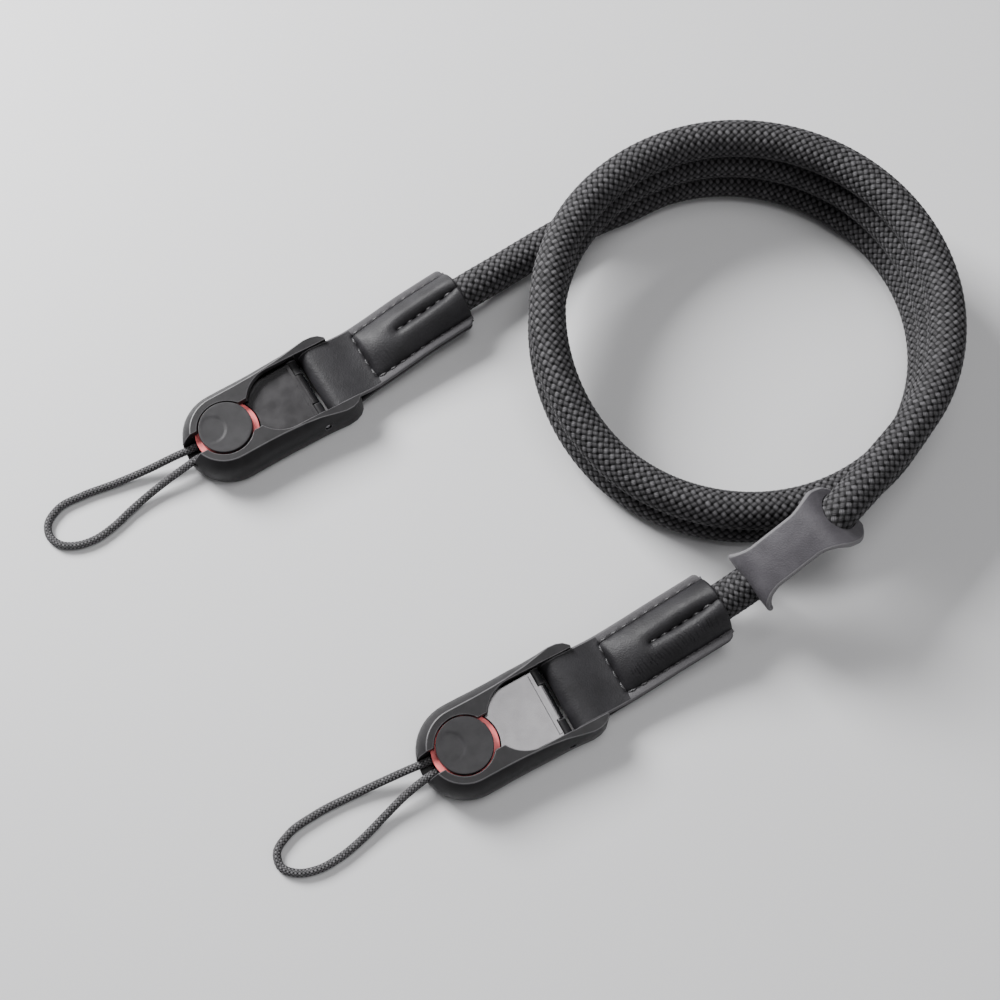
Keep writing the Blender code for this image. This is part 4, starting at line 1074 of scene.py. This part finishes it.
def leather_material(name, dark, light, roughness, cut_edge, raw_colour, sewn):
    """Smooth-faced leather: fine pores and creases, slow changes of tone, and a paler, fibrous skin on its
    cut edge. A sewn one has that skin on its pressed flanges too, where it is partly painted light on
    these upturned bands, and painted shade in the creases where its seams pull it in."""
    look = Look(name)
    do, noise = look.do, look.noise
    along, round_section = look.map_place()
    across = do("ABSOLUTE", round_section)
    raw = do("MULTIPLY", do("GREATER_THAN", across, cut_edge),
             do("LESS_THAN", across, cut_edge + LEATHER_THICKNESS))
    if sewn:
        # The pressed flanges take the pale fibrous skin: partly their own surface, partly painted light on
        # these upturned bands
        ragged = do("MULTIPLY", do("SUBTRACT", noise(1800.0, 2.0), 0.5), 0.0004)
        pressed_and_lit = do("MULTIPLY", do("GREATER_THAN", do("ADD", across, ragged), PRESSED_FROM),
                     do("LESS_THAN", across, cut_edge))
        pressed_and_lit = do("MULTIPLY", pressed_and_lit, do("GREATER_THAN", do("ABSOLUTE", along), END_SEAM))
        raw = do("ADD", raw, do("MULTIPLY", pressed_and_lit, 0.85), clamp=True)

    tone = do("ADD", do("MULTIPLY", noise(160.0, 4.0), 0.7), do("MULTIPLY", noise(2600.0, 3.0, 0.7), 0.3))
    face = look.mix(look.spread(tone, 0.35, 0.65), dark, light)
    fibre = look.spread(noise(5200.0, 4.0, 0.8), 0.35, 0.65)
    skin = look.mix(raw, face, look.mix(fibre, tinted(raw_colour, 0.55), raw_colour))
    if sewn:
        # Painted shade in the creases along the seams
        unshaded = do("SUBTRACT", 1.0, do("MULTIPLY", painted_crease_shade(look, along, across), 0.85))
        skin = look.mix(unshaded, CREASE_SHADE_COLOUR, skin)

    pores = look.add("TexVoronoi", "Distance", {"Vector": look.object_place(), "Scale": 2400.0,
                                                "Randomness": 1.0})
    grain = do("ADD", do("MULTIPLY", pores, 0.6), do("MULTIPLY", noise(900.0, 5.0, 0.6), 0.8))
    height = do("ADD", grain, do("MULTIPLY", do("MULTIPLY", raw, noise(6000.0, 4.0, 0.8)), 1.6))
    gloss = look.spread(noise(420.0, 3.0), 0.0, 1.0, roughness - 0.08, roughness + 0.10)
    gloss = do("ADD", gloss, do("MULTIPLY", raw, 0.25), clamp=True)
    return look.finish(height, 0.80, 0.00009, Base_Color=skin, Roughness=gloss, Specular_IOR_Level=0.24)


def thread_material():
    """Waxed thread of three strands: slanted ridges on the map's two coordinates, with painted shade in
    the grooves between the strands.
    """
    look = Look("waxed thread")
    do = look.do
    along, around = look.map_place()
    slant = do("ADD", do("MULTIPLY", along, 4.0), do("MULTIPLY", around, 3.0))
    wave = do("ABSOLUTE", do("SINE", do("MULTIPLY", slant, pi)))
    # Painted shade in the grooves between the strands, lighter on their crowns
    colour = look.mix(wave, (0.004, 0.004, 0.0045), (0.048, 0.046, 0.050))
    return look.finish(wave, 0.8, 0.00008, Base_Color=colour, Roughness=0.45)


def moulded_material(name, colour, roughness, grain, grain_scale, specular=0.20):
    """Moulded plastic: a fine spark-eroded texture, faint cloudiness of tone and gloss."""
    look = Look(name)

    def cloud(scale, detail, first, last):
        return look.spread(look.noise(scale, detail), 0.3, 0.7, first, last)

    tone = look.mix(cloud(300.0, 4.0, 0.0, 1.0), tinted(colour, 0.82), tinted(colour, 1.18))
    gloss = cloud(700.0, 3.0, roughness - 0.05, roughness + 0.07)
    return look.finish(cloud(grain_scale, 2.0, 0.0, 1.0), grain, 0.00003, Base_Color=tone, Roughness=gloss,
                       Specular_IOR_Level=specular)


def steel_material(name, colour, roughness, turn_deg):
    """Sheet steel with a fine brushed grain along the connector and cloudy, uneven gloss."""
    look = Look(name)
    turned = look.add("Mapping", 0, {"Vector": look.object_place(), "Scale": (60.0, 4200.0, 60.0),
                                     "Rotation": (0.0, 0.0, radians(-turn_deg))})
    brushed = look.add("TexNoise", "Fac", {"Vector": turned, "Scale": 1.0, "Detail": 3.0})
    gloss = look.spread(look.noise(260.0, 3.0), 0.35, 0.65, roughness - 0.015, roughness + 0.020)
    return look.finish(brushed, 0.25, 0.00001, Base_Color=colour, Roughness=gloss, Metallic=1.0)


SLEEVE_LOOK = leather_material("sleeve leather", (0.0115, 0.0110, 0.0124), (0.0215, 0.0207, 0.0232), 0.52,
                               SLEEVE_HALF_WIDTH, (0.125, 0.121, 0.128), True)
KEEPER_LOOK = leather_material("keeper leather", (0.050, 0.047, 0.053), (0.078, 0.074, 0.082), 0.48,
                               KEEPER_EAR_HALF, (0.20, 0.195, 0.205), False)
THREAD_LOOK = thread_material()
HOUSING_LOOK = moulded_material("housing plastic", (0.0150, 0.0144, 0.0156), 0.42, 0.35, 5200.0)
# Painted highlight along the housing's rounded edges: a paler, glossier plastic
HOUSING_EDGE_HIGHLIGHT_LOOK = moulded_material("worn edge of the housing plastic", (0.060, 0.058, 0.062), 0.38, 0.15,
                                     5200.0, 0.45)
CAP_LOOK = moulded_material("cap plastic", (0.0230, 0.0222, 0.0240), 0.42, 0.28, 6000.0)
FLANGE_LOOK = moulded_material("flange red", (0.95, 0.200, 0.205), 0.42, 0.12, 4000.0)
ROPE_END_LOOK = moulded_material("rope end", (0.010, 0.010, 0.011), 0.75, 0.6, 1500.0)
PLATE_LOOKS = [
    steel_material(f"latch plate steel {number}", (0.118, 0.115, 0.119), 0.25, connector["heading_deg"])
    for number, connector in enumerate(CONNECTORS, start=1)
]
PIN_LOOK = steel_material("hinge pin steel", (0.42, 0.42, 0.43), 0.28, 30.0)
ROPE_LOOK = braid_material("rope braid", (0.0005, 0.0005, 0.0006), (0.115, 0.112, 0.118), 0.002, 4.0)
CORD_LOOK = braid_material("anchor cord braid", (0.0008, 0.0008, 0.0010), (0.200, 0.196, 0.204), 0.0009,
                           3.0)


# Rope and anchor cords


def add_rope():
    line = even_line(rope_points(), ROPE_BRAID["pitch"] / BRAID_STEPS)
    mesh = braided_mesh("rope_braid", line, ROPE_BRAID)
    return add_piece("rope_braid", mesh, [ROPE_LOOK], "strap", ["rope"]), line


def add_anchor_cord(number):
    line = even_line(anchor_cord_points(number), CORD_BRAID["pitch"] / BRAID_STEPS)
    mesh = braided_mesh(f"anchor_loop_{number}", line, CORD_BRAID)
    piece = add_piece(f"anchor_loop_{number}", mesh, [CORD_LOOK], "strap",
                      [f"anchor_cord_{number}"])
    length_of(line)


rope, rope_line = add_rope()
for number in (1, 2):
    add_anchor_cord(number)
keeper = add_keeper(rope_line)
length_of(rope_line)
for number in (1, 2):
    add_sleeve(number)
    add_stitching(number)
for number in (1, 2):
    add_housing(number)
    add_cap(number)
    add_flange(number)
    add_pin(number)


# Finishes of the nodes that stay

STAYING = {"rope_end_1": ROPE_END_LOOK, "rope_end_2": ROPE_END_LOOK,
           "latch_plate_1": PLATE_LOOKS[0], "latch_plate_2": PLATE_LOOKS[1]}
for node, look in STAYING.items():
    for place in bpy.data.objects[node].material_slots:
        place.material = look


# Floor, lights and camera


def add_floor():
    bpy.ops.mesh.primitive_plane_add(size=FLOOR_SIZE)
    floor = bpy.context.object
    floor.name = "floor"
    look = Look("floor")
    look.fill(look.surface, {"Base Color": FLOOR_COLOUR, "Roughness": FLOOR_ROUGHNESS})
    floor.data.materials.append(look.material)


def add_light(name, place, size, watts):
    light = bpy.data.lights.new(name, "AREA")
    light.energy = watts
    light.size = size
    lamp = new_object(name, light)
    lamp.location = place
    lamp.rotation_euler = (-Vector(place)).to_track_quat("-Z", "Y").to_euler()


def add_world():
    world = bpy.data.worlds.new("studio")
    world.use_nodes = True
    background = world.node_tree.nodes["Background"]
    background.inputs["Color"].default_value = (*WORLD_COLOUR, 1.0)
    background.inputs["Strength"].default_value = WORLD_STRENGTH
    bpy.context.scene.world = world


def add_camera():
    elevation = radians(CAMERA_ELEVATION_DEG)
    camera = bpy.data.cameras.new("camera")
    camera.lens = CAMERA_LENS_MM
    camera.sensor_width = CAMERA_SENSOR_MM
    camera.clip_start = CAMERA_NEAR
    holder = new_object("camera", camera)
    holder.location = Vector(SHIFT) + CAMERA_DISTANCE * Vector((0.0, -cos(elevation), sin(elevation)))
    holder.rotation_euler = (pi / 2 - elevation, 0.0, 0.0)
    bpy.context.scene.camera = holder


add_floor()
for light in LIGHTS:
    add_light(**light)
add_world()
add_camera()
